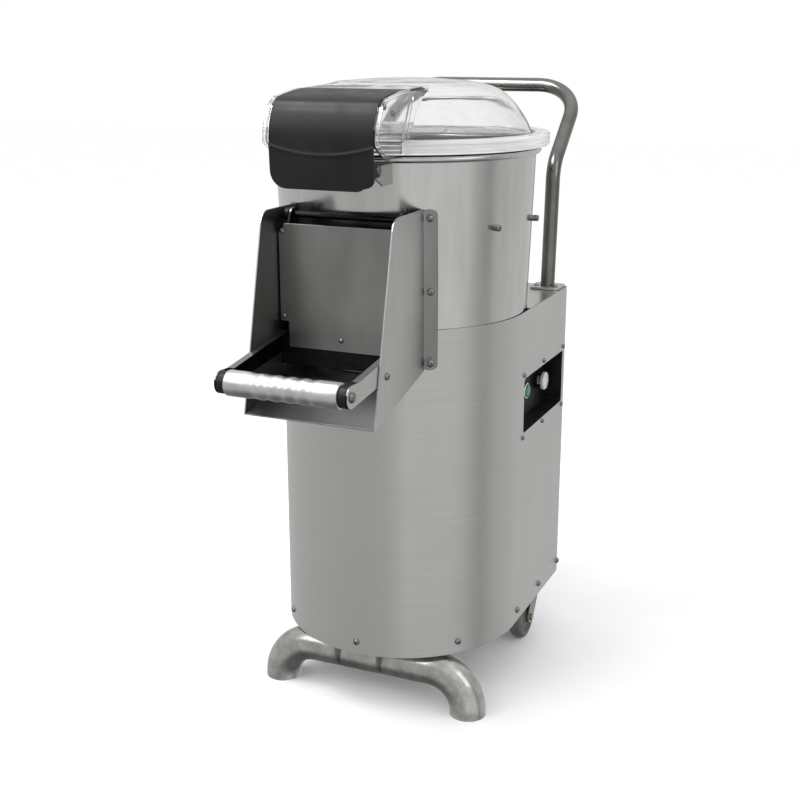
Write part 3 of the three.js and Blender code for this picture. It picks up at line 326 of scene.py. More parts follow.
def add(tree, kind, inputs=None, **settings):
    """Adds a node with its settings; an input is a value, or a socket that is linked to it."""
    node = tree.nodes.new(kind)
    for key, value in settings.items():
        setattr(node, key, value)
    for key, value in (inputs or {}).items():
        if isinstance(value, bpy.types.NodeSocket):
            tree.links.new(value, node.inputs[key])
        else:
            node.inputs[key].default_value = value
    return node


def per_mm(*sizes):
    """Texture scale, in repeats per metre, from the size of one repeat along each axis in mm."""
    return tuple(1 / (size * MM) for size in sizes)


def noise(tree, size, detail=4.0, roughness=0.6):
    """A noise value over the piece's own coordinates, with grains of the given (x, y, z) size in mm."""
    place = add(tree, "ShaderNodeTexCoord").outputs["Object"]
    mapped = add(tree, "ShaderNodeMapping", {"Vector": place, "Scale": per_mm(*size)})
    return add(tree, "ShaderNodeTexNoise", {
        "Vector": mapped.outputs["Vector"], "Scale": 1.0, "Detail": detail,
        "Roughness": roughness}).outputs["Fac"]


def spread(tree, value, low, high, start=0.3, end=0.7):
    """Stretches a noise value to run from low to high."""
    return add(tree, "ShaderNodeMapRange", {
        "Value": value, "From Min": start, "From Max": end, "To Min": low,
        "To Max": high}).outputs["Result"]


def shades(tree, value, dark, light, start=0.3, end=0.7):
    """A colour between two hex codes by a noise value."""
    ramp = add(tree, "ShaderNodeValToRGB", {"Fac": value})
    ramp.color_ramp.elements[0].position = start
    ramp.color_ramp.elements[0].color = colour(dark)
    ramp.color_ramp.elements[1].position = end
    ramp.color_ramp.elements[1].color = colour(light)
    return ramp.outputs["Color"]


def bump(tree, height, depth, strength=1.0, normal=None):
    """A bump of the given depth in mm."""
    inputs = {"Height": height, "Distance": depth * MM, "Strength": strength}
    if normal is not None:
        inputs["Normal"] = normal
    return add(tree, "ShaderNodeBump", inputs).outputs["Normal"]


def finish(name, **sockets):
    """A material whose shader has these sockets set; returns it with its tree and a linking call."""
    material = bpy.data.materials.new(name)
    material.use_nodes = True
    tree = material.node_tree
    shader = tree.nodes["Principled BSDF"]
    for key, value in sockets.items():
        shader.inputs[key.replace("_", " ")].default_value = value

    def link(**outputs):
        for key, socket in outputs.items():
            tree.links.new(socket, shader.inputs[key.replace("_", " ")])
        return material
    return tree, link


def brushed_steel(name, dark, light, rough, grain, stroke, depth, waves=0.08):
    """Stainless sheet: fine strokes of the given size scatter light across them, over cloudy wear
    and a slight waviness, in mm, left by rolling."""
    tree, link = finish(name, Metallic=1.0)
    strokes = noise(tree, grain, detail=3.0, roughness=0.7)
    long_marks = noise(tree, stroke, detail=2.0)
    clouds = noise(tree, (90, 90, 140), detail=3.0)
    rub = add(tree, "ShaderNodeMath", {0: strokes, 1: clouds}, operation="MULTIPLY_ADD")
    rub.inputs[2].default_value = 0.2
    normal = bump(tree, strokes, depth)
    rolling = noise(tree, (70, 70, 170), detail=1.0)
    return link(
        Base_Color=shades(tree, long_marks, dark, light),
        Roughness=spread(tree, rub.outputs["Value"], rough - 0.05, rough + 0.07, 0.3, 0.62),
        Normal=bump(tree, rolling, waves, 1.0, normal))


def body_stainless():
    # Number 4 brushed sheet with strokes running round the body: they smear what it mirrors up
    # and down, which leaves soft upright bands. Strokes are 0.5 mm apart, coarser than the real
    # 0.1 mm, so that they show.
    return brushed_steel("stainless_brushed_sheet", "#c0c0bf", "#c9c9c8", 0.3, (60, 60, 0.5),
                         (200, 200, 1.1), 0.009)


def drum_stainless():
    # Rolled bright-annealed sheet: smoother than the body, so the bands have harder edges.
    return brushed_steel("stainless_bright_rolled", "#c5c6c4", "#d0d1cf", 0.19, (50, 50, 0.8),
                         (24, 24, 150), 0.006, 0.5)


def plate_stainless():
    # Flat satin sheet of the chute and door, with strokes running up and down.
    return brushed_steel("stainless_satin_plate", "#bdbdbc", "#c7c7c6", 0.34, (0.5, 0.5, 50),
                         (2, 2, 150), 0.012)


def dull_stainless():
    # A darker copy of the same sheet, painted shade: on the chute's inward faces, flanges and floor, the
    # door's plate and frame tops and the foot's gussets. It is also cloudier.
    return brushed_steel("stainless_dull_rolled", "#858584", "#929291", 0.38, (0.6, 0.6, 40),
                         (50, 50, 120), 0.012)


def shaded_stainless():
    # Near-black steel, painted shade: inside the door's frame and on the door's pivot rod, where only shade
    # falls.
    return plated("steel_blackened", "#1c1d1d", "#2b2c2c", 0.4, 16)


def tube_stainless():
    # Drawn tube, hand polished: dark and glossy, so it shows narrow streaks with faint specks.
    return brushed_steel("stainless_polished_tube", "#6d6e6b", "#80817d", 0.15, (1.2, 1.2, 1.2),
                         (40, 40, 40), 0.008)


def weathered_tube():
    # The foot's thick tube: pickled after welding, so it is cloudy and darker in patches.
    tree, link = finish("stainless_pickled_tube", Metallic=1.0)
    patches = noise(tree, (26, 26, 26), detail=5.0)
    grains = noise(tree, (1.5, 1.5, 1.5), detail=2.0)
    return link(
        Base_Color=shades(tree, patches, "#a3a4a0", "#c6c7c3", 0.36, 0.62),
        Roughness=spread(tree, patches, 0.29, 0.17),
        Normal=bump(tree, grains, 0.03, 0.6))


def turned_aluminium():
    # Lathe-turned bar: fine rings across the grip catch light in a bright satin streak. The real
    # feed of 0.15 mm is drawn at 0.6 mm so that it shows.
    tree, link = finish("aluminium_turned", Metallic=1.0)
    rings = noise(tree, (0.6, 40, 40), detail=2.0)
    wear = noise(tree, (14, 14, 14), detail=4.0)
    return link(
        Base_Color=shades(tree, wear, "#c9cac9", "#dededd"),
        Roughness=spread(tree, wear, 0.3, 0.42),
        Normal=bump(tree, rings, 0.06))


def plated(name, dark, light, rough, mottle):
    """Plated or cast steel, with mottling of the given size in mm."""
    tree, link = finish(name, Metallic=1.0)
    spots = noise(tree, (mottle,) * 3, detail=5.0)
    fine = noise(tree, (0.8,) * 3, detail=2.0)
    return link(
        Base_Color=shades(tree, spots, dark, light),
        Roughness=spread(tree, spots, rough - 0.07, rough + 0.09),
        Normal=bump(tree, fine, 0.03, 0.6))


def clear_polycarbonate():
    # Injection-moulded polycarbonate: water clear in the thin, greyish white at thick edges, with
    # very slight ripples from the mould and a light haze of wiping.
    return polycarbonate("polycarbonate_clear_moulded", 1.0, 0.01)


def rim_polycarbonate():
    # The same plastic in the lid's thick ribbed band, where the mould's texture turns it milky.
    return polycarbonate("polycarbonate_milky_rim", 0.5, 0.12)


def polycarbonate(name, clarity, rough):
    tree, link = finish(name, Metallic=0.0, IOR=1.46, Transmission_Weight=clarity)
    ripple = noise(tree, (70, 70, 50), detail=1.0)
    haze = noise(tree, (30, 30, 30), detail=5.0)
    return link(
        Base_Color=shades(tree, haze, "#f7f8f8", "#ffffff"),
        Roughness=spread(tree, haze, rough, rough + 0.05),
        Normal=bump(tree, ripple, 0.8, 0.6))


def black_moulded():
    # Black ABS with a fine spark-eroded grain, 0.9 mm, which breaks the sheen into a soft haze.
    tree, link = finish("abs_black_grained", Metallic=0.0, IOR=1.53, Specular_IOR_Level=0.28)
    grain = noise(tree, (0.9, 0.9, 0.9), detail=3.0)
    wipe = noise(tree, (34, 34, 60), detail=3.0)
    return link(
        Base_Color=shades(tree, wipe, "#0a0a0b", "#131314"),
        Roughness=spread(tree, wipe, 0.36, 0.48),
        Normal=bump(tree, grain, 0.09, 0.8))


def rubber(name, dark, light, grain):
    """Moulded rubber: matt, with a dusty grain."""
    tree, link = finish(name, Metallic=0.0, IOR=1.52)
    dust = noise(tree, (12,) * 3, detail=5.0)
    fine = noise(tree, (grain,) * 3, detail=3.0)
    return link(
        Base_Color=shades(tree, dust, dark, light),
        Roughness=spread(tree, dust, 0.6, 0.8),
        Normal=bump(tree, fine, 0.12))


def abrasive_grit():
    # Silicon carbide grit bonded in resin: rough 2.5 mm grains, dark with lighter crystals.
    tree, link = finish("silicon_carbide_grit", Metallic=0.0, IOR=1.6)
    place = add(tree, "ShaderNodeTexCoord").outputs["Object"]
    grains = add(tree, "ShaderNodeTexVoronoi", {"Vector": place, "Scale": per_mm(2.5)[0]})
    crumbs = noise(tree, (1.2,) * 3, detail=3.0)
    return link(
        Base_Color=shades(tree, grains.outputs["Distance"], "#6d665a", "#39352f", 0.1, 0.6),
        Roughness=spread(tree, crumbs, 0.7, 0.95),
        Normal=bump(tree, grains.outputs["Distance"], 1.0, 0.9, bump(tree, crumbs, 0.4)))


def gloss_moulded(name, dark, light):
    """A glossy moulded cap with faint flow marks and wear in its shine."""
    tree, link = finish(name, Metallic=0.0, IOR=1.5)
    flow = noise(tree, (7, 7, 7), detail=3.0)
    fine = noise(tree, (0.7, 0.7, 0.7), detail=2.0)
    return link(
        Base_Color=shades(tree, flow, dark, light),
        Roughness=spread(tree, flow, 0.2, 0.36),
        Normal=bump(tree, fine, 0.02, 0.5))


def motor_enamel():
    # Stoved enamel on a cast motor: slight orange peel of 3 mm.
    tree, link = finish("enamel_blue_stoved", Metallic=0.0, IOR=1.52)
    peel = noise(tree, (3, 3, 3), detail=2.0)
    dirt = noise(tree, (40, 40, 40), detail=5.0)
    return link(
        Base_Color=shades(tree, dirt, "#2b4058", "#3b5876"),
        Roughness=spread(tree, dirt, 0.34, 0.55),
        Normal=bump(tree, peel, 0.2, 0.5))


FINISH = {
    "stainless": body_stainless(),
    "polished_stainless": tube_stainless(),
    "turned_aluminium": turned_aluminium(),
    "clear_polycarbonate": clear_polycarbonate(),
    "black_plastic": black_moulded(),
    "black_rubber": rubber("rubber_black_moulded", "#0f0f0f", "#1b1b1b", 0.8),
    "grey_rubber": rubber("rubber_grey_tread", "#4d4e4b", "#666763", 1.0),
    "abrasive_grit": abrasive_grit(),
    "zinc_steel": plated("steel_zinc_plated", "#84897f", "#a9ada2", 0.34, 9),
    "cast_iron": plated("iron_as_cast", "#383b3e", "#54585b", 0.62, 5),
    "motor_paint": motor_enamel(),
    "chrome": plated("brass_chrome_plated", "#cfcfce", "#e2e2e1", 0.12, 20),
    "green_plastic": gloss_moulded("button_green_moulded", "#2c6e55", "#458a6e"),
    "white_plastic": gloss_moulded("button_white_moulded", "#aaaeaa", "#bfc3bf"),
}
DRUM_STEEL = drum_stainless()
PLATE_STEEL = plate_stainless()
DULL_STEEL = dull_stainless()
RIM_PLASTIC = rim_polycarbonate()
SHADED_STEEL = shaded_stainless()
FOOT_STEEL = weathered_tube()
SCREW_STEEL = plated("screw_stainless_turned", "#5e5f5d", "#a5a6a4", 0.2, 3)


def paint(obj, material):
    if not obj.material_slots:
        obj.data.materials.append(material)
    for place in obj.material_slots:
        place.material = material


def faced(obj, material, chosen):
    """Gives another finish to the faces whose middle and direction, in mm from the drum's axis,
    are chosen."""
    obj.data.materials.append(material)
    for face in obj.data.polygons:
        middle = (face.center - Vector((0, AXIS_Y, 0))) / MM
        if chosen(middle, face.normal):
            face.material_index = len(obj.data.materials) - 1
    return obj


def finished(obj, *nodes, material=None):
    """The piece stands for these nodes, moves with them and takes their finish."""
    slot = SLOT_OF[nodes[0]]
    paint(obj, material or FINISH[slot])
    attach(obj, frame["nodes"][nodes[0]]["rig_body"])
    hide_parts(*nodes)
    return obj


# ---------------------------------------------------------------- body
def body_shell():
    """The wrap-round body sheet with its recess window and the mouth behind the chute."""
    flange = BODY_RADIUS - CORNER_RADIUS - REAR_FLANGE
    rear = body_high.y
    wrap = [(-flange, rear), *body_outline(0), (flange, rear),
            (flange, rear - BODY_SHEET), *reversed(body_outline(BODY_SHEET)), (-flange, rear - BODY_SHEET)]
    shell = made("body_wrap", (prism, wrap, "Z", body_low.z, DECK))
    window_low, window_high = window()
    cut = made("window", (prism, rectangle(window_low.y, window_high.y, window_low.z, window_high.z, 6),
                          "X", BODY_RADIUS - 6, BODY_RADIUS + 6))
    combined(shell, cut)
    half, bottom = 94, span("abrasive_disc")[0].z + 10
    combined(shell, made("mouth", (prism, rectangle(-half, half, bottom, DECK + 1), "Y",
                                   -BODY_RADIUS - 5, -BODY_RADIUS / 2)))
    finished(broken_edges(shell, 0.25), "body_shell")


def window():
    """Lower and upper corner of the recess window in the body's right side."""
    front, rear, level = 12, 10, 16  # how far the recess moulding laps behind each edge
    low = Vector((0, recess_low.y + front, recess_low.z + level))
    high = Vector((0, recess_high.y - rear, recess_high.z - level))
    return low, high


def body_plates():
    for node in ("rear_panel", "top_deck", "base_pan"):
        finished(dressed(node, 0.6), node)


# ---------------------------------------------------------------- drum
def drum():
    """The drum's wall, flared to a rolled rim, with its mouth and water inlet."""
    wall = DRUM_RADIUS - SHEET
    inner_rim = drum_radius(RIM_BOTTOM) - SHEET
    inner_bend = 3
    profile = [
        (DRUM_RADIUS, drum_low.z), (DRUM_RADIUS, DECK), (drum_radius(RIM_BOTTOM), RIM_BOTTOM),
        *arc(LIP_RADIUS - RIM_BEAD, RIM - RIM_BEAD, RIM_BEAD, -math.pi / 2, math.pi / 2, 10),
        *arc(inner_rim + inner_bend, RIM - inner_bend, inner_bend, math.pi / 2, math.pi, 4),
        (inner_rim, RIM_BOTTOM), (wall, DECK), (wall, drum_low.z),
    ]
    shell = made("drum_wall", (lathe, profile, {"steps": 160}))
    half, bottom, height = 92, span("abrasive_disc")[0].z + 14, 200
    mouth = rectangle(-half, half, bottom, bottom + height, 4)
    combined(shell, made("mouth", (prism, mouth, "Y", -BODY_RADIUS - 30, -BODY_RADIUS / 2)))
    inlet_low, inlet_high = span("water_inlet")
    bore, inner, outer = 8.3, 150, 240
    inlet = made("inlet", (lathe, [(0, inner), (bore, inner), (bore, outer), (0, outer)],
                           {"axis": "Y", "centre": (0, (inlet_low.z + inlet_high.z) / 2), "steps": 24}))
    combined(shell, inlet)
    finished(broken_edges(shell, 0.5), "drum", material=DRUM_STEEL)


# ---------------------------------------------------------------- lid
DOME_RADIUS = LID_RADIUS - 27
BAND_TOP = LID_BASE + 20
CHEEK = 86.0  # half width across the cheeks
CHEEK_WALL = 3.0
LID_STEPS = 144  # sides of what is turned round the lid's axis
# Radius as a share of the dome's, height as a share of its rise.
DOME = [(1, 0), (0.985, 0.05), (0.927, 0.3), (0.839, 0.57), (0.732, 0.79), (0.561, 0.92),
        (0.488, 0.94), (0.24, 0.985), (0, 1)]


def dome_line(wall):
    rise = CROWN - BAND_TOP
    return [(max(0.0, r * DOME_RADIUS - wall * (0 if r == 0 else 1)), BAND_TOP + h * rise - wall)
            for r, h in eased_line(DOME)]


def cheek_outline(wall, floor):
    """Side view of the hood's housing, from inside the dome forward."""
    back = -LID_RADIUS / 2
    return rounded([
        (back, floor), (FRONT + 29 + wall, floor, 6), (FRONT + wall, LID_BASE + 21, 8),
        (FRONT + 3 + wall, LID_BASE + 43, 20), (FRONT + 16 + wall, CROWN - 33, 16),
        (FRONT + 34 + wall, CROWN - 20.5 - wall, 20), (HOOD_BACK - 24, CROWN - 12 - wall),
        (back, CROWN - 8 - wall),
    ])


def lid():
    """The clear lid: a flattened dome on a ribbed rim band, open in front between two cheeks."""
    wall = 4.0
    shell = made("lid_clear", (lathe, [(0, LID_BASE), (DOME_RADIUS, LID_BASE), *dome_line(0)],
                               {"steps": LID_STEPS}))
    combined(shell, made("housing", (prism, cheek_outline(0, LID_BASE + 1), "X", -CHEEK, CHEEK)), "UNION")
    combined(shell, made("hollow", (lathe, [(0, LID_BASE - 1), (DOME_RADIUS - wall, LID_BASE - 1),
                                            *dome_line(wall)], {"steps": LID_STEPS})))
    open_half = CHEEK - CHEEK_WALL
    combined(shell, made("room", (prism, cheek_outline(wall, LID_BASE - 30), "X", -open_half, open_half)))
    combined(shell, made("front", (prism, rectangle(FRONT - 10, HOOD_BACK, BAND_TOP + 0.3, CROWN + 10),
                                   "X", -open_half, open_half)))
    combined(shell, made("gap", (prism, rectangle(FRONT - 10, -LID_RADIUS - 0.3, LID_BASE - 30,
                                                  CROWN + 10), "X", -open_half, open_half)))
    combined(shell, made("band", (lathe, band_profile(), {"steps": LID_STEPS})), "UNION")
    tab = rectangle(-22, 22, LID_RADIUS - 6, lid_high.y, 8)
    combined(shell, made("tab", (prism, tab, "Z", LID_BASE + 4, LID_BASE + 9)), "UNION")
    finished(broken_edges(shell, 0.9, steps=2, angle=50), "lid")
    faced(shell, RIM_PLASTIC, lambda at, way: math.hypot(at.x, at.y) > DOME_RADIUS + 3
          and at.z < BAND_TOP + 0.5 and (abs(at.x) > CHEEK + 1 or at.y > 0))


def band_profile():
    """The rim band, with two grooves that leave three ribs round its outside."""
    inner, outer = LID_RADIUS - 24, LID_RADIUS
    edge, groove_depth = 2.5, 1.3
    line = [(inner, LID_BASE), (outer - 3, LID_BASE), (outer, LID_BASE + edge)]
    for rise in (7, 13.5):
        line += arc(outer, LID_BASE + rise, groove_depth, -math.pi / 2, -3 * math.pi / 2, 4)
    return [*line, (outer, BAND_TOP - edge), (outer - edge, BAND_TOP), (inner, BAND_TOP)]


HOOD_HALF = hood_high.x
# Height above the hood's lower edge, and how far its right edge is set in there.
STEP = [(0, 27), (1.5, 21), (4, 18), (6, 9), (9, 4), (14, 0.5), (18, 0)]


def between(value, table):
    """Straight-line reading of a table of (value, result)."""
    for (a, low), (b, high) in zip(table, table[1:]):
        if value < b:
            return low + (high - low) * max(0.0, value - a) / (b - a)
    return table[-1][1]


def hood_line():
    """Side view of the hood, from its back edge over the top and down its front."""
    back = hood_high.y
    corners = [(back, CROWN - 10.6), (hood_high.y - 23.4, CROWN - 12), (FRONT + 34, CROWN - 20.5),
               (FRONT + 15, CROWN - 36), (FRONT + 5, CROWN - 62), (FRONT + 3, LID_BASE + 8),
               (FRONT + 6, hood_low.z)]
    return eased_line(corners, steps=30)


def hood_row(before, at, after, across):
    """Points across the hood at one height, on its crease and inside its rounded lower corners."""
    corner, crease_height, crease_width = 25.0, 1.3, 2.4
    way = (Vector(after) - Vector(before)).normalized()
    outward = Vector((way.y, -way.x))
    if outward.x > 0.2:
        outward = -outward
    y, z = at
    rise = z - hood_low.z
    inset = corner - math.sqrt(max(0.0, corner ** 2 - max(0.0, corner - rise) ** 2))
    left, right = -HOOD_HALF + inset, HOOD_HALF - between(rise, STEP)
    row = []
    for k in range(across + 1):
        x = left + (right - left) * k / across
        crease = LID_BASE + 4 + 12 * (x / HOOD_HALF) ** 2
        ridge = crease_height * math.exp(-((z - crease) / crease_width) ** 2) if y < FRONT + 40 else 0.0
        row.append((x, y + outward.x * ridge, z + outward.y * ridge))
    return row


def hood():
    """The black hood: a curved sheet with a raised crease, rounded lower corners and a small step."""
    line = hood_line()
    across, thickness = 48, 2.6
    bm = bmesh.new()
    rows = [[bm.verts.new(point) for point in hood_row(before, at, after, across)]
            for before, at, after in zip([line[0], *line], line, [*line[1:], line[-1]])]
    for near, far in zip(rows, rows[1:]):
        for k in range(across):
            bm.faces.new((near[k], near[k + 1], far[k + 1], far[k]))
    bm.transform(TO_FRAME)
    sheet = linked("hood_moulded", bm)
    wall = sheet.modifiers.new("wall", "SOLIDIFY")
    wall.thickness = thickness * MM
    wall.offset = 1.0
    baked(sheet)
    bm = bmesh.new()
    bm.from_mesh(sheet.data)
    bmesh.ops.recalc_face_normals(bm, faces=bm.faces)
    bm.to_mesh(sheet.data)
    bm.free()
    broken_edges(sheet, 0.9, steps=3, angle=60)
    finished(sheet, "lid_hood")
    hood_lugs()


def cheek_flanges():
    """Flanges turned out along the front edges of the lid's cheeks, and a rib where each meets the
    dome."""
    turned_out, thickness, proud = 5.0, 3.5, 2.4
    outer = [*cheek_outline(0, LID_BASE + 1)[1:-1], (HOOD_BACK, CROWN - 11)]
    inner = [*cheek_outline(thickness, LID_BASE + 1)[1:-1], (HOOD_BACK, CROWN - 11 - thickness)]
    rib = [(-186, CROWN - 22), (-177, CROWN - 22), (-205, BAND_TOP - 1), (-217, BAND_TOP - 1)]
    steps = []
    for _, side in SIDES:
        steps.append((prism, [*outer, *reversed(inner)], "X", side * (CHEEK - 0.4),
                      side * (CHEEK + turned_out)))
        steps.append((prism, rib, "X", side * (CHEEK - 0.4), side * (CHEEK + proud)))
    flanges = broken_edges(made("cheek_flanges", *steps), 1.2, 3)
    paint(flanges, FINISH["clear_polycarbonate"])
    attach(flanges, "lid")


def hood_lugs():
    """Two ribs behind the hood that carry its hinge rod."""
    rod_low, rod_high = span("hinge_rod")
    y, z = (rod_low.y + rod_high.y) / 2, (rod_low.z + rod_high.z) / 2
    outline = rounded([
        (FRONT + 7, z + 34), (FRONT + 7, z - 14), (y + 9, z - 9, 8), (y + 9, z + 9, 8),
        (FRONT + 30, z + 14)])
    inner, outer = 65.8, 69.8
    steps = [(prism, outline, "X", side * inner, side * outer) for _, side in SIDES]
    lugs = broken_edges(made("hood_lugs", *steps), 0.6)
    paint(lugs, FINISH["black_plastic"])
    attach(lugs, "lid")


def hinge():
    for name, _ in SIDES:
        finished(dressed(f"hinge_ear_{name}", 0.6), f"hinge_ear_{name}", material=PLATE_STEEL)
    low, high = span("hinge_rod")
    head, head_radius = 3.0, 7
    radius = (high.z - low.z) / 2
    profile = [(0, low.x), (radius - 1, low.x), (radius, low.x + 1), (radius, high.x - 1),
               (radius - 1, high.x), (0, high.x)]
    centre = ((low.y + high.y) / 2, (low.z + high.z) / 2)
    caps = [(lathe, [(0, side * (high.x - head)), (head_radius, side * (high.x - head)),
                     (head_radius, side * (high.x - 1.5)), (head_radius - 1.5, side * (high.x - 0.2)),
                     (0, side * high.x)],
             {"axis": "X", "centre": centre, "steps": 32}) for _, side in SIDES]
    rod = made("hinge_rod_headed", (lathe, profile, {"axis": "X", "centre": centre, "steps": 32}), *caps)
    finished(smoothed(rod, 40), "hinge_rod")


# ---------------------------------------------------------------- chute and door
def chute():
    """Sheet sides, bright outside, with their flanges on the drum, and the sloping floor; the sides' inward
    faces, their flanges and the floor take the darker plate steel as painted shade.
    """
    for name, side in SIDES:
        node = f"chute_{name}_side"
        plate = finished(dressed(node, 0.7, 3), node, material=PLATE_STEEL)
        # Painted shade: inward faces and the flanges are painted in the darker plate steel.
        faced(plate, DULL_STEEL, lambda at, way: abs(at.x) > CHUTE_HALF + 1 or side * way.x < -0.5)
    finished(dressed("chute_floor", 0.6), "chute_floor", material=DULL_STEEL)


def door():
    """The door's plate on its frame, and the plug that fills the mouth. Painted shade: the frame's inside is
    painted near black, and the plate and the frame's tops are in the darker plate steel.
    """
    # Painted shade: the plate takes the darker plate steel.
    finished(dressed("door_plate", 0.6, 3), "door_plate", material=DULL_STEEL)
    door_frame = finished(dressed("door_frame", 0.6), "door_frame", material=PLATE_STEEL)
    inner_half = 103.9
    # Painted shade: faces inside the frame's width that do not face up are painted near black.
    faced(door_frame, SHADED_STEEL, lambda at, way: abs(at.x) < inner_half and way.z < 0.5)
    # Painted shade: the frame's top faces are painted in the darker plate steel.
    faced(door_frame, DULL_STEEL, lambda at, way: way.z > 0.5)
    finished(dressed("door_plug", 1.6, 3), "door_plug")


def along_x(node, name, profile, steps=48, material=None):
    """A turned piece on the axis of a node that lies across the machine."""
    low, high = span(node)
    centre = ((low.y + high.y) / 2, (low.z + high.z) / 2)
    obj = made(name, (lathe, profile, {"axis": "X", "centre": centre, "steps": steps}))
    return finished(smoothed(obj, 40), node, material=material)


def grip():
    """The turned grip with its finger waves, its two end rings and the bolt heads."""
    radius = (grip_high.z - grip_low.z) / 2
    half, bore = grip_high.x, 6.3
    pitch, waves, depth = 22.0, 5, 1.4
    reach = pitch * waves / 2
    fine = 12 * waves
    wave = [(radius - depth / 2 * (1 - math.cos(2 * math.pi * waves * i / fine)),
             -reach + 2 * reach * i / fine) for i in range(fine + 1)]
    along_x("grip", "grip_turned", [
        (bore, -half), (radius - 1.6, -half), (radius - 0.4, -half + 0.6), (radius, -half + 2),
        *wave, (radius, half - 2), (radius - 0.4, half - 0.6), (radius - 1.6, half), (bore, half),
    ], steps=96)
    for name, _ in SIDES:
        node = f"grip_ring_{name}"
        low, high = span(node)
        outer = (high.z - low.z) / 2
        along_x(node, f"{node}_moulded", [
            (bore, low.x), *arc(outer - 1.2, low.x + 1.2, 1.2, -math.pi / 2, 0, 4),
            *arc(outer - 1.2, high.x - 1.2, 1.2, 0, math.pi / 2, 4), (bore, high.x)], steps=64)
    low, high = span("grip_rod")
    rod, head = 6.0, 8.0
    ends = [(0, high.x), (3, high.x - 0.3), (5.8, high.x - 1.4), (head - 0.3, high.x - 3),
            (head, high.x - 4.3), (rod, high.x - 4.3)]
    along_x("grip_rod", "grip_bolt", [*[(r, -x) for r, x in ends], *reversed(ends)], steps=40,
            material=SCREW_STEEL)


def door_pivot():
    low, high = span("door_pivot_rod")
    radius = (high.z - low.z) / 2
    # The rod is painted near black: painted shade for the dark slot above the door's plate.
    along_x("door_pivot_rod", "door_pivot_rod_drawn", [
        (0, low.x), (radius - 0.6, low.x), (radius, low.x + 0.6), (radius, high.x - 0.6),
        (radius - 0.6, high.x), (0, high.x)], steps=32, material=SHADED_STEEL)
    for name, _ in SIDES:
        node = f"pivot_boss_{name}"
        low, high = span(node)
        outer = (high.z - low.z) / 2
        along_x(node, f"{node}_moulded", [
            (radius + 0.3, low.x), (outer - 1.5, low.x), (outer, low.x + 1.5), (outer, high.x - 1.5),
            (outer - 1.5, high.x), (radius + 0.3, high.x)], steps=40)


# ---------------------------------------------------------------- controls
def controls():
    """The recess moulding, and two buttons in bright bezels."""
    finished(dressed("control_box", 0.7), "control_box")
    for name in ("start", "stop"):
        low, high = span(f"{name}_bezel")
        outer = (high.z - low.z) / 2
        along_x(f"{name}_bezel", f"{name}_bezel_turned", [
            (11.6, low.x), (outer, low.x), (outer, high.x - 2), *arc(outer - 2, high.x - 2, 2, 0.2,
             math.pi / 2, 4), (12.4, high.x), (11.6, high.x - 0.8)], steps=48,
            material=None if name == "start" else FINISH["black_plastic"])
    low, high = span("start_button")
    along_x("start_button", "start_button_cap", [
        (0, low.x), (8, low.x), (8, high.x - 6), (11, high.x - 6), (11, high.x - 1.4),
        (10.2, high.x - 0.4), (8.4, high.x), (7.8, high.x - 0.5), (0, high.x - 0.7)], steps=48)
    low, high = span("stop_button")
    along_x("stop_button", "stop_button_cap", [
        (0, low.x), (8, low.x), (8, high.x - 7.5), (15.2, high.x - 7.5), (16, high.x - 6.6),
        (16, high.x - 2.5), (14.6, high.x - 0.9), (12.4, high.x - 0.3), (0, high.x)], steps=48)


# ---------------------------------------------------------------- handle and foot
def push_handle():
    """The bent tube behind the drum, its legs cut level on their flanges."""
    radius = 12.5
    half = bar_high.x - radius
    foot_y = 235.0  # where the legs stand
    lean, tilt = 0.062, 0.856  # radians from upright, below and above the knee
    low_bend, high_bend, straight = 59.0, 79.0, 190.0
    reach = bar_high.y - radius
    knee_rise = straight + low_bend * math.tan((tilt - lean) / 2)
    knee_y = foot_y + knee_rise * math.tan(lean)
    bar_z = DECK + knee_rise + (reach - knee_y) / math.tan(tilt)

    def leg(side):
        return [((side * half, foot_y, DECK), 0), ((side * half, knee_y, DECK + knee_rise), low_bend),
                ((side * half, reach, bar_z), high_bend)]
    path = bent_path([*leg(-1), *reversed(leg(1))])
    bar = made("push_handle_bent", (tube, path, radius, 40, bar_low.z))
    finished(smoothed(bar, 50), "push_handle")
    for name, _ in SIDES:
        finished(dressed(f"handle_flange_{name}", 0.8, 3), f"handle_flange_{name}", material=PLATE_STEEL)


def front_foot():
    """The thick tube bent down to a foot at each end."""
    radius = (foot_high.y - foot_low.y) / 2
    half = foot_high.x - radius
    y = (foot_low.y + foot_high.y) / 2
    axis, bend = foot_high.z - radius, 67.0
    path = bent_path([((-half, y, 0), 0), ((-half, y, axis), bend), ((half, y, axis), bend),
                      ((half, y, 0), 0)], steps=18)
    finished(smoothed(made("front_foot_bent", (tube, path, radius, 56)), 50), "front_foot",
             material=FOOT_STEEL)
    for name, _ in SIDES:
        # Painted shade: the gussets take the darker plate steel for the shadow under the body.
        finished(dressed(f"foot_gusset_{name}", 0.5), f"foot_gusset_{name}", material=DULL_STEEL)


def castors():
    finished(dressed("castor_carrier", 0.6), "castor_carrier")
    for name, _ in SIDES:
        finished(dressed(f"castor_fork_{name}", 0.8), f"castor_fork_{name}")
        node = f"castor_wheel_{name}"
        low, high = span(node)
        radius = (high.z - low.z) / 2
        middle, half = (low.x + high.x) / 2, (high.x - low.x) / 2
        flank = [(6.3, half), (11, half), (11.8, half - 1.2), (15, half - 1.8), (24, half - 4.5),
                 (28, half - 4.5), (30, half - 1), *arc(radius - 7, half - 7, 7, math.pi / 2, 0, 6)]
        profile = [*[(r, middle + x) for r, x in flank], *[(r, middle - x) for r, x in reversed(flank)]]
        along_x(node, f"{node}_moulded", profile, steps=64)
        node = f"castor_axle_{name}"
        low, high = span(node)
        along_x(node, f"{node}_bolt", [
            (0, low.x), (6, low.x), (6, low.x + 1), (6, high.x - 1), (5, high.x), (0, high.x)], steps=6)


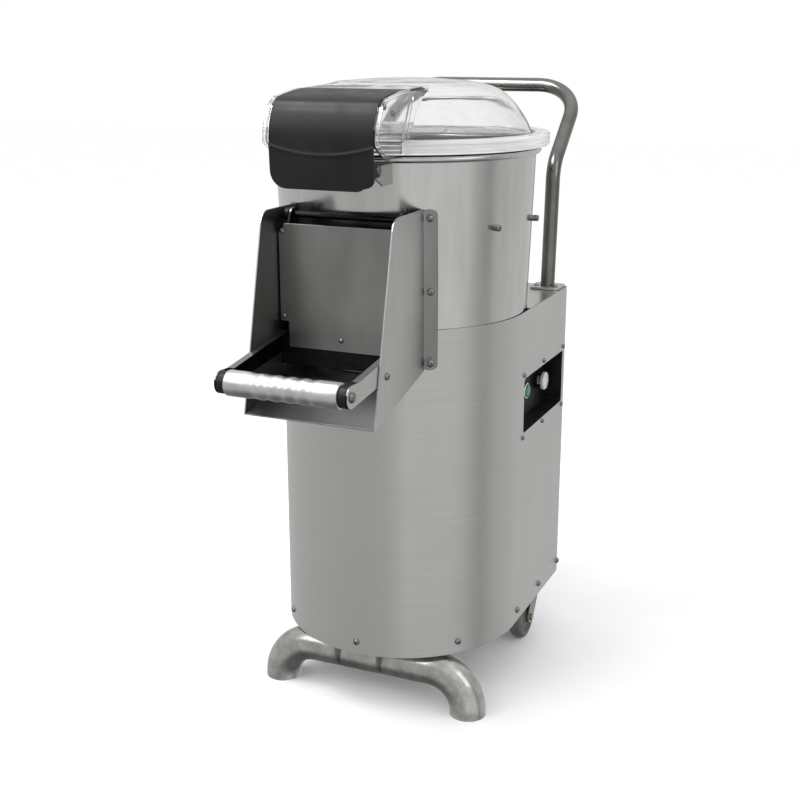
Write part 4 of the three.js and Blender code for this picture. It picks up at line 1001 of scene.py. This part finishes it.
# ---------------------------------------------------------------- screws and studs
def fastener_tree():
    """Puts a headed fastener on each point, facing as the point's attribute says."""
    tree = bpy.data.node_groups.new("fasteners_on_points", "GeometryNodeTree")
    tree.interface.new_socket("Geometry", in_out="INPUT", socket_type="NodeSocketGeometry")
    for name in ("Head Radius", "Head Height", "Collar Radius", "Collar Height", "Recess Width"):
        tree.interface.new_socket(name, in_out="INPUT", socket_type="NodeSocketFloat")
    tree.interface.new_socket("Material", in_out="INPUT", socket_type="NodeSocketMaterial")
    tree.interface.new_socket("Geometry", in_out="OUTPUT", socket_type="NodeSocketGeometry")
    given = add(tree, "NodeGroupInput").outputs

    def vector(x, y, z):
        return add(tree, "ShaderNodeCombineXYZ", {"X": x, "Y": y, "Z": z}).outputs["Vector"]

    def moved(mesh, translation, scale=(1, 1, 1)):
        return add(tree, "GeometryNodeTransform", {
            "Geometry": mesh, "Translation": translation, "Scale": scale}).outputs["Geometry"]

    ball = add(tree, "GeometryNodeMeshUVSphere", {"Segments": 24, "Rings": 12, "Radius": 1.0})
    dome = moved(ball.outputs["Mesh"], vector(0.0, 0.0, given["Collar Height"]),
                 vector(given["Head Radius"], given["Head Radius"], given["Head Height"]))
    top = add(tree, "ShaderNodeMath", {0: given["Collar Height"], 1: given["Head Height"]}).outputs[0]
    slim = add(tree, "ShaderNodeMath", {0: given["Recess Width"], 1: 0.27}, operation="MULTIPLY").outputs[0]
    bars = []
    for size in ((given["Recess Width"], slim), (slim, given["Recess Width"])):
        cube = add(tree, "GeometryNodeMeshCube", {"Size": vector(*size, given["Head Height"])})
        bars.append(moved(cube.outputs["Mesh"], vector(0.0, 0.0, top)))
    recess = add(tree, "GeometryNodeMeshBoolean", {"Mesh 1": dome}, operation="DIFFERENCE")
    for bar in bars:
        tree.links.new(bar, recess.inputs["Mesh 2"])
    collar = add(tree, "GeometryNodeMeshCylinder", {
        "Vertices": 24, "Radius": given["Collar Radius"], "Depth": given["Collar Height"]})
    half = add(tree, "ShaderNodeMath", {0: given["Collar Height"], 1: 0.5}, operation="MULTIPLY")
    seat = moved(collar.outputs["Mesh"], vector(0.0, 0.0, half.outputs[0]))
    whole = add(tree, "GeometryNodeJoinGeometry")
    tree.links.new(recess.outputs["Mesh"], whole.inputs["Geometry"])
    tree.links.new(seat, whole.inputs["Geometry"])

    facing = add(tree, "GeometryNodeInputNamedAttribute", {"Name": "facing"}, data_type="FLOAT_VECTOR")
    aimed = add(tree, "FunctionNodeAlignRotationToVector", {"Vector": facing.outputs["Attribute"]}, axis="Z")
    spin = add(tree, "FunctionNodeRandomValue", {"Seed": 7}, data_type="FLOAT")
    turn = add(tree, "ShaderNodeMath", {0: spin.outputs["Value"], 1: 2 * math.pi}, operation="MULTIPLY")
    turned = add(tree, "FunctionNodeAxisAngleToRotation", {"Axis": (0, 0, 1), "Angle": turn.outputs[0]})
    both = add(tree, "FunctionNodeRotateRotation", {
        "Rotation": aimed.outputs["Rotation"], "Rotate By": turned.outputs["Rotation"]},
        rotation_space="LOCAL")
    placed = add(tree, "GeometryNodeInstanceOnPoints", {
        "Points": given["Geometry"], "Instance": whole.outputs["Geometry"],
        "Rotation": both.outputs["Rotation"]})
    real = add(tree, "GeometryNodeRealizeInstances", {"Geometry": placed.outputs["Instances"]})
    finish_set = add(tree, "GeometryNodeSetMaterial", {
        "Geometry": real.outputs["Geometry"], "Material": given["Material"]})
    add(tree, "NodeGroupOutput", {"Geometry": finish_set.outputs["Geometry"]})
    return tree


FASTENERS = fastener_tree()


def fasteners(name, body, places, sizes, material=SCREW_STEEL):
    """One mesh of fasteners at ((x, y, z), facing) places in mm, riding on a body."""
    mesh = bpy.data.meshes.new(name)
    mesh.from_pydata([(x * MM, y * MM + AXIS_Y, z * MM) for (x, y, z), _ in places], [], [])
    facing = mesh.attributes.new("facing", "FLOAT_VECTOR", "POINT")
    facing.data.foreach_set("vector", [value for _, way in places for value in way])
    obj = bpy.data.objects.new(name, mesh)
    scene.collection.objects.link(obj)
    nodes = obj.modifiers.new("fasteners", "NODES")
    nodes.node_group = FASTENERS
    for socket in FASTENERS.interface.items_tree:
        if socket.in_out == "INPUT" and socket.name in sizes:
            nodes[socket.identifier] = sizes[socket.name] * MM
        elif socket.in_out == "INPUT" and socket.name == "Material":
            nodes[socket.identifier] = material
    smoothed(baked(obj), 40)
    paint(obj, material)
    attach(obj, body)


DOME_SCREW = {"Head Radius": 5.4, "Head Height": 3.4, "Collar Radius": 5.6, "Collar Height": 0.7,
              "Recess Width": 4.6}
SMALL_SCREW = {"Head Radius": 4.2, "Head Height": 2.6, "Collar Radius": 4.4, "Collar Height": 0.5,
               "Recess Width": 3.6}
WASHER_SCREW = {"Head Radius": 6.2, "Head Height": 4.0, "Collar Radius": 8.6, "Collar Height": 1.4,
                "Recess Width": 5.0}
STUD = {"Head Radius": 4.6, "Head Height": 1.6, "Collar Radius": 5.0, "Collar Height": 11.0,
        "Recess Width": 4.2}


def radial(degrees, radius, height):
    """A place on a round wall, and the way it faces; degrees run from the front to the right."""
    turn = math.radians(degrees)
    way = (math.sin(turn), -math.cos(turn), 0.0)
    return (radius * way[0], radius * way[1], height), way


def body_screws():
    foot_row = body_low.z + 21
    places = [radial(turn, BODY_RADIUS, foot_row) for turn in (-48.5, 0, 48.5)]
    for _, side in SIDES:
        places += [((side * BODY_RADIUS, y, foot_row), (side, 0, 0)) for y in (18, 139, 255)]
    fasteners("body_screws", "chassis", places, DOME_SCREW)
    window_low, window_high = window()
    rows = (window_low.z - 7, window_high.z + 7)
    columns = (window_low.y - 2, (window_low.y + window_high.y) / 2 - 3, window_high.y + 3)
    fasteners("recess_screws", "chassis",
              [((BODY_RADIUS, y, z), (1, 0, 0)) for y in columns for z in rows], SMALL_SCREW)
    rear = span("rear_panel")[1]
    panel = [((x, rear.y, z), (0, 1, 0)) for x in (-rear.x + 12, rear.x - 12)
             for z in (body_low.z + 40, (body_low.z + DECK) / 2, DECK - 40)]
    fasteners("rear_panel_screws", "chassis", panel, DOME_SCREW)


def chute_screws():
    strip_middle = (span("chute_right_side")[1].x + CHUTE_HALF) / 2
    upper, lower = [], []
    for _, side in SIDES:
        for height, rows in ((828, upper), (716, upper), (605, lower)):
            radius = max(BODY_RADIUS, drum_radius(height)) + SHEET + 0.6
            turn = math.degrees(math.asin(strip_middle / radius)) * side
            rows.append(radial(turn, radius, height))
    fasteners("chute_flange_screws", "chassis", upper, DOME_SCREW)
    fasteners("chute_washer_screws", "chassis", lower, WASHER_SCREW)
    fasteners("chute_side_screws", "chassis",
              [((side * CHUTE_HALF, -316, 618), (side, 0, 0)) for _, side in SIDES], DOME_SCREW)


def door_screws():
    face = span("door_plate")[0].y
    places = [((side * 97, face, z), (0, -1, 0)) for _, side in SIDES for z in (806, 676)]
    places.append(((0, face, 645), (0, -1, 0)))
    fasteners("door_plate_screws", "door", places, SMALL_SCREW)


def lid_screws():
    places = [((side * CHEEK, y, z), (side, 0, 0)) for _, side in SIDES
              for y, z in ((-246, 983), (-276, 993))]
    fasteners("cheek_screws", "lid", places, SMALL_SCREW)


def drum_studs():
    height = 807
    places = [radial(side * turn, drum_radius(height), height) for _, side in SIDES for turn in (64, 100)]
    fasteners("drum_studs", "chassis", places, STUD)


def handle_screws():
    """Three screws round each leg on its flange."""
    top = span("handle_flange_right")[1].z
    pitch = 20.5  # radius of the screws' circle
    places = []
    for name, _ in SIDES:
        low, high = span(f"handle_flange_{name}")
        x, y = (low.x + high.x) / 2, (low.y + high.y) / 2
        places += [((x + pitch * math.cos(t), y + pitch * math.sin(t), top), (0, 0, 1))
                   for t in (math.radians(90 + 120 * i) for i in range(3))]
    fasteners("handle_flange_screws", "chassis", places, SMALL_SCREW)


# ---------------------------------------------------------------- studio
def floor():
    bm = bmesh.new()
    bmesh.ops.create_grid(bm, x_segments=1, y_segments=1, size=12)
    ground = linked("floor", bm)
    tree, link = finish("floor_pale_painted", Metallic=0.0)
    mottle = noise(tree, (220, 220, 220), detail=3.0)
    paint(ground, link(Base_Color=shades(tree, mottle, "#f4f4f4", "#f8f8f8"),
                       Roughness=spread(tree, mottle, 0.8, 0.9)))
    ground.visible_glossy = False


def surroundings():
    """An even pale room whose walls have soft grey upright panels for the metal to mirror."""
    world = bpy.data.worlds.new("pale_room")
    scene.world = world
    world.use_nodes = True
    tree = world.node_tree
    background = tree.nodes["Background"]
    way = add(tree, "ShaderNodeTexCoord").outputs["Generated"]
    parts = add(tree, "ShaderNodeSeparateXYZ", {"Vector": way}).outputs
    back = add(tree, "ShaderNodeMath", {0: parts["Y"], 1: -1.0}, operation="MULTIPLY").outputs[0]
    turn = add(tree, "ShaderNodeMath", {0: parts["X"], 1: back}, operation="ARCTAN2").outputs[0]
    share = add(tree, "ShaderNodeMapRange", {
        "Value": turn, "From Min": -math.pi, "From Max": math.pi, "To Min": 0.0, "To Max": 1.0})
    # Degrees from the front to the right, and how bright the wall is there.
    panels = [(-180, 0.66), (-150, 0.68), (-100, 0.62), (-60, 0.58), (-20, 0.56), (4, 0.58), (16, 0.64),
              (23, 0.86), (31, 0.74), (70, 0.76), (84, 0.66), (95, 0.42), (102, 0.36), (112, 0.6),
              (150, 0.66), (180, 0.64)]
    ramp = add(tree, "ShaderNodeValToRGB", {"Fac": share.outputs["Result"]})
    stops = ramp.color_ramp.elements
    for number, (degrees, level) in enumerate(panels):
        place = degrees / 360 + 0.5
        stop = stops[number] if number < 2 else stops.new(place)
        stop.position = place
        stop.color = (level, level, level * 0.99, 1)
    height = add(tree, "ShaderNodeMapRange", {
        "Value": parts["Z"], "From Min": 0.35, "From Max": 0.95, "To Min": 0.0, "To Max": 1.0})
    ceiling = blend(tree, height.outputs["Result"], ramp.outputs["Color"], grey(1.1))
    depth = add(tree, "ShaderNodeMapRange", {
        "Value": parts["Z"], "From Min": -0.8, "From Max": -0.45, "To Min": 0.0, "To Max": 1.0})
    whole = blend(tree, depth.outputs["Result"], grey(0.16), ceiling)
    path = add(tree, "ShaderNodeLightPath").outputs
    seen = add(tree, "ShaderNodeMath", {
        0: path["Is Camera Ray"], 1: path["Is Transmission Ray"]}, operation="MAXIMUM").outputs[0]
    lit = blend(tree, path["Is Diffuse Ray"], whole, grey(1.15))
    shown = blend(tree, seen, lit, grey(1.0))
    tree.links.new(shown, background.inputs["Color"])


def grey(level):
    return (level, level, level, 1.0)


def blend(tree, factor, first, second):
    """A mix of two colours, each a value or a socket; factor 1 gives the second."""
    node = add(tree, "ShaderNodeMix", {"Factor": factor}, data_type="RGBA")
    for name, value in (("A", first), ("B", second)):
        socket = next(s for s in node.inputs if s.name == name and s.type == "RGBA")
        if isinstance(value, bpy.types.NodeSocket):
            tree.links.new(value, socket)
        else:
            socket.default_value = value
    return next(s for s in node.outputs if s.type == "RGBA")


def softbox(name, place, target, size, power):
    light = bpy.data.lights.new(name, "AREA")
    light.shape = "RECTANGLE"
    light.size, light.size_y = size
    light.energy = power
    lamp = bpy.data.objects.new(name, light)
    lamp.location = place
    lamp.rotation_euler = (Vector(target) - Vector(place)).to_track_quat("-Z", "Y").to_euler()
    scene.collection.objects.link(lamp)


def camera():
    """Looks down a little on the machine from its front right; angles in degrees, lens in mm."""
    azimuth, pitch = math.radians(23.616), math.radians(16.032)
    lens, place = 56.59, (0.82337, -1.89119, 1.08452)
    data = bpy.data.cameras.new("camera")
    data.lens = lens
    view = bpy.data.objects.new("camera", data)
    view.location = place
    ahead = Vector((-math.sin(azimuth) * math.cos(pitch), math.cos(azimuth) * math.cos(pitch),
                    -math.sin(pitch)))
    view.rotation_euler = ahead.to_track_quat("-Z", "Y").to_euler()
    scene.collection.objects.link(view)
    scene.camera = view


camera()
body_shell()
body_plates()
drum()
lid()
hood()
cheek_flanges()
hinge()
chute()
door()
grip()
door_pivot()
controls()
push_handle()
front_foot()
castors()
body_screws()
chute_screws()
door_screws()
lid_screws()
drum_studs()
handle_screws()
for node, obj in frame["nodes"].items():
    paint(obj, FINISH[SLOT_OF[node]])
floor()
surroundings()
softbox("key_light", (-1.6, -2.4, 2.6), (0, 0, 0.6), (1.6, 1.6), 26)
softbox("fill_light", (2.4, -0.6, 1.9), (0, 0, 0.5), (1.2, 1.6), 8)
softbox("top_light", (-0.8, -0.8, 2.7), (0, -0.3, 0.95), (1.2, 0.8), 26)
scene.view_settings.view_transform = "Standard"
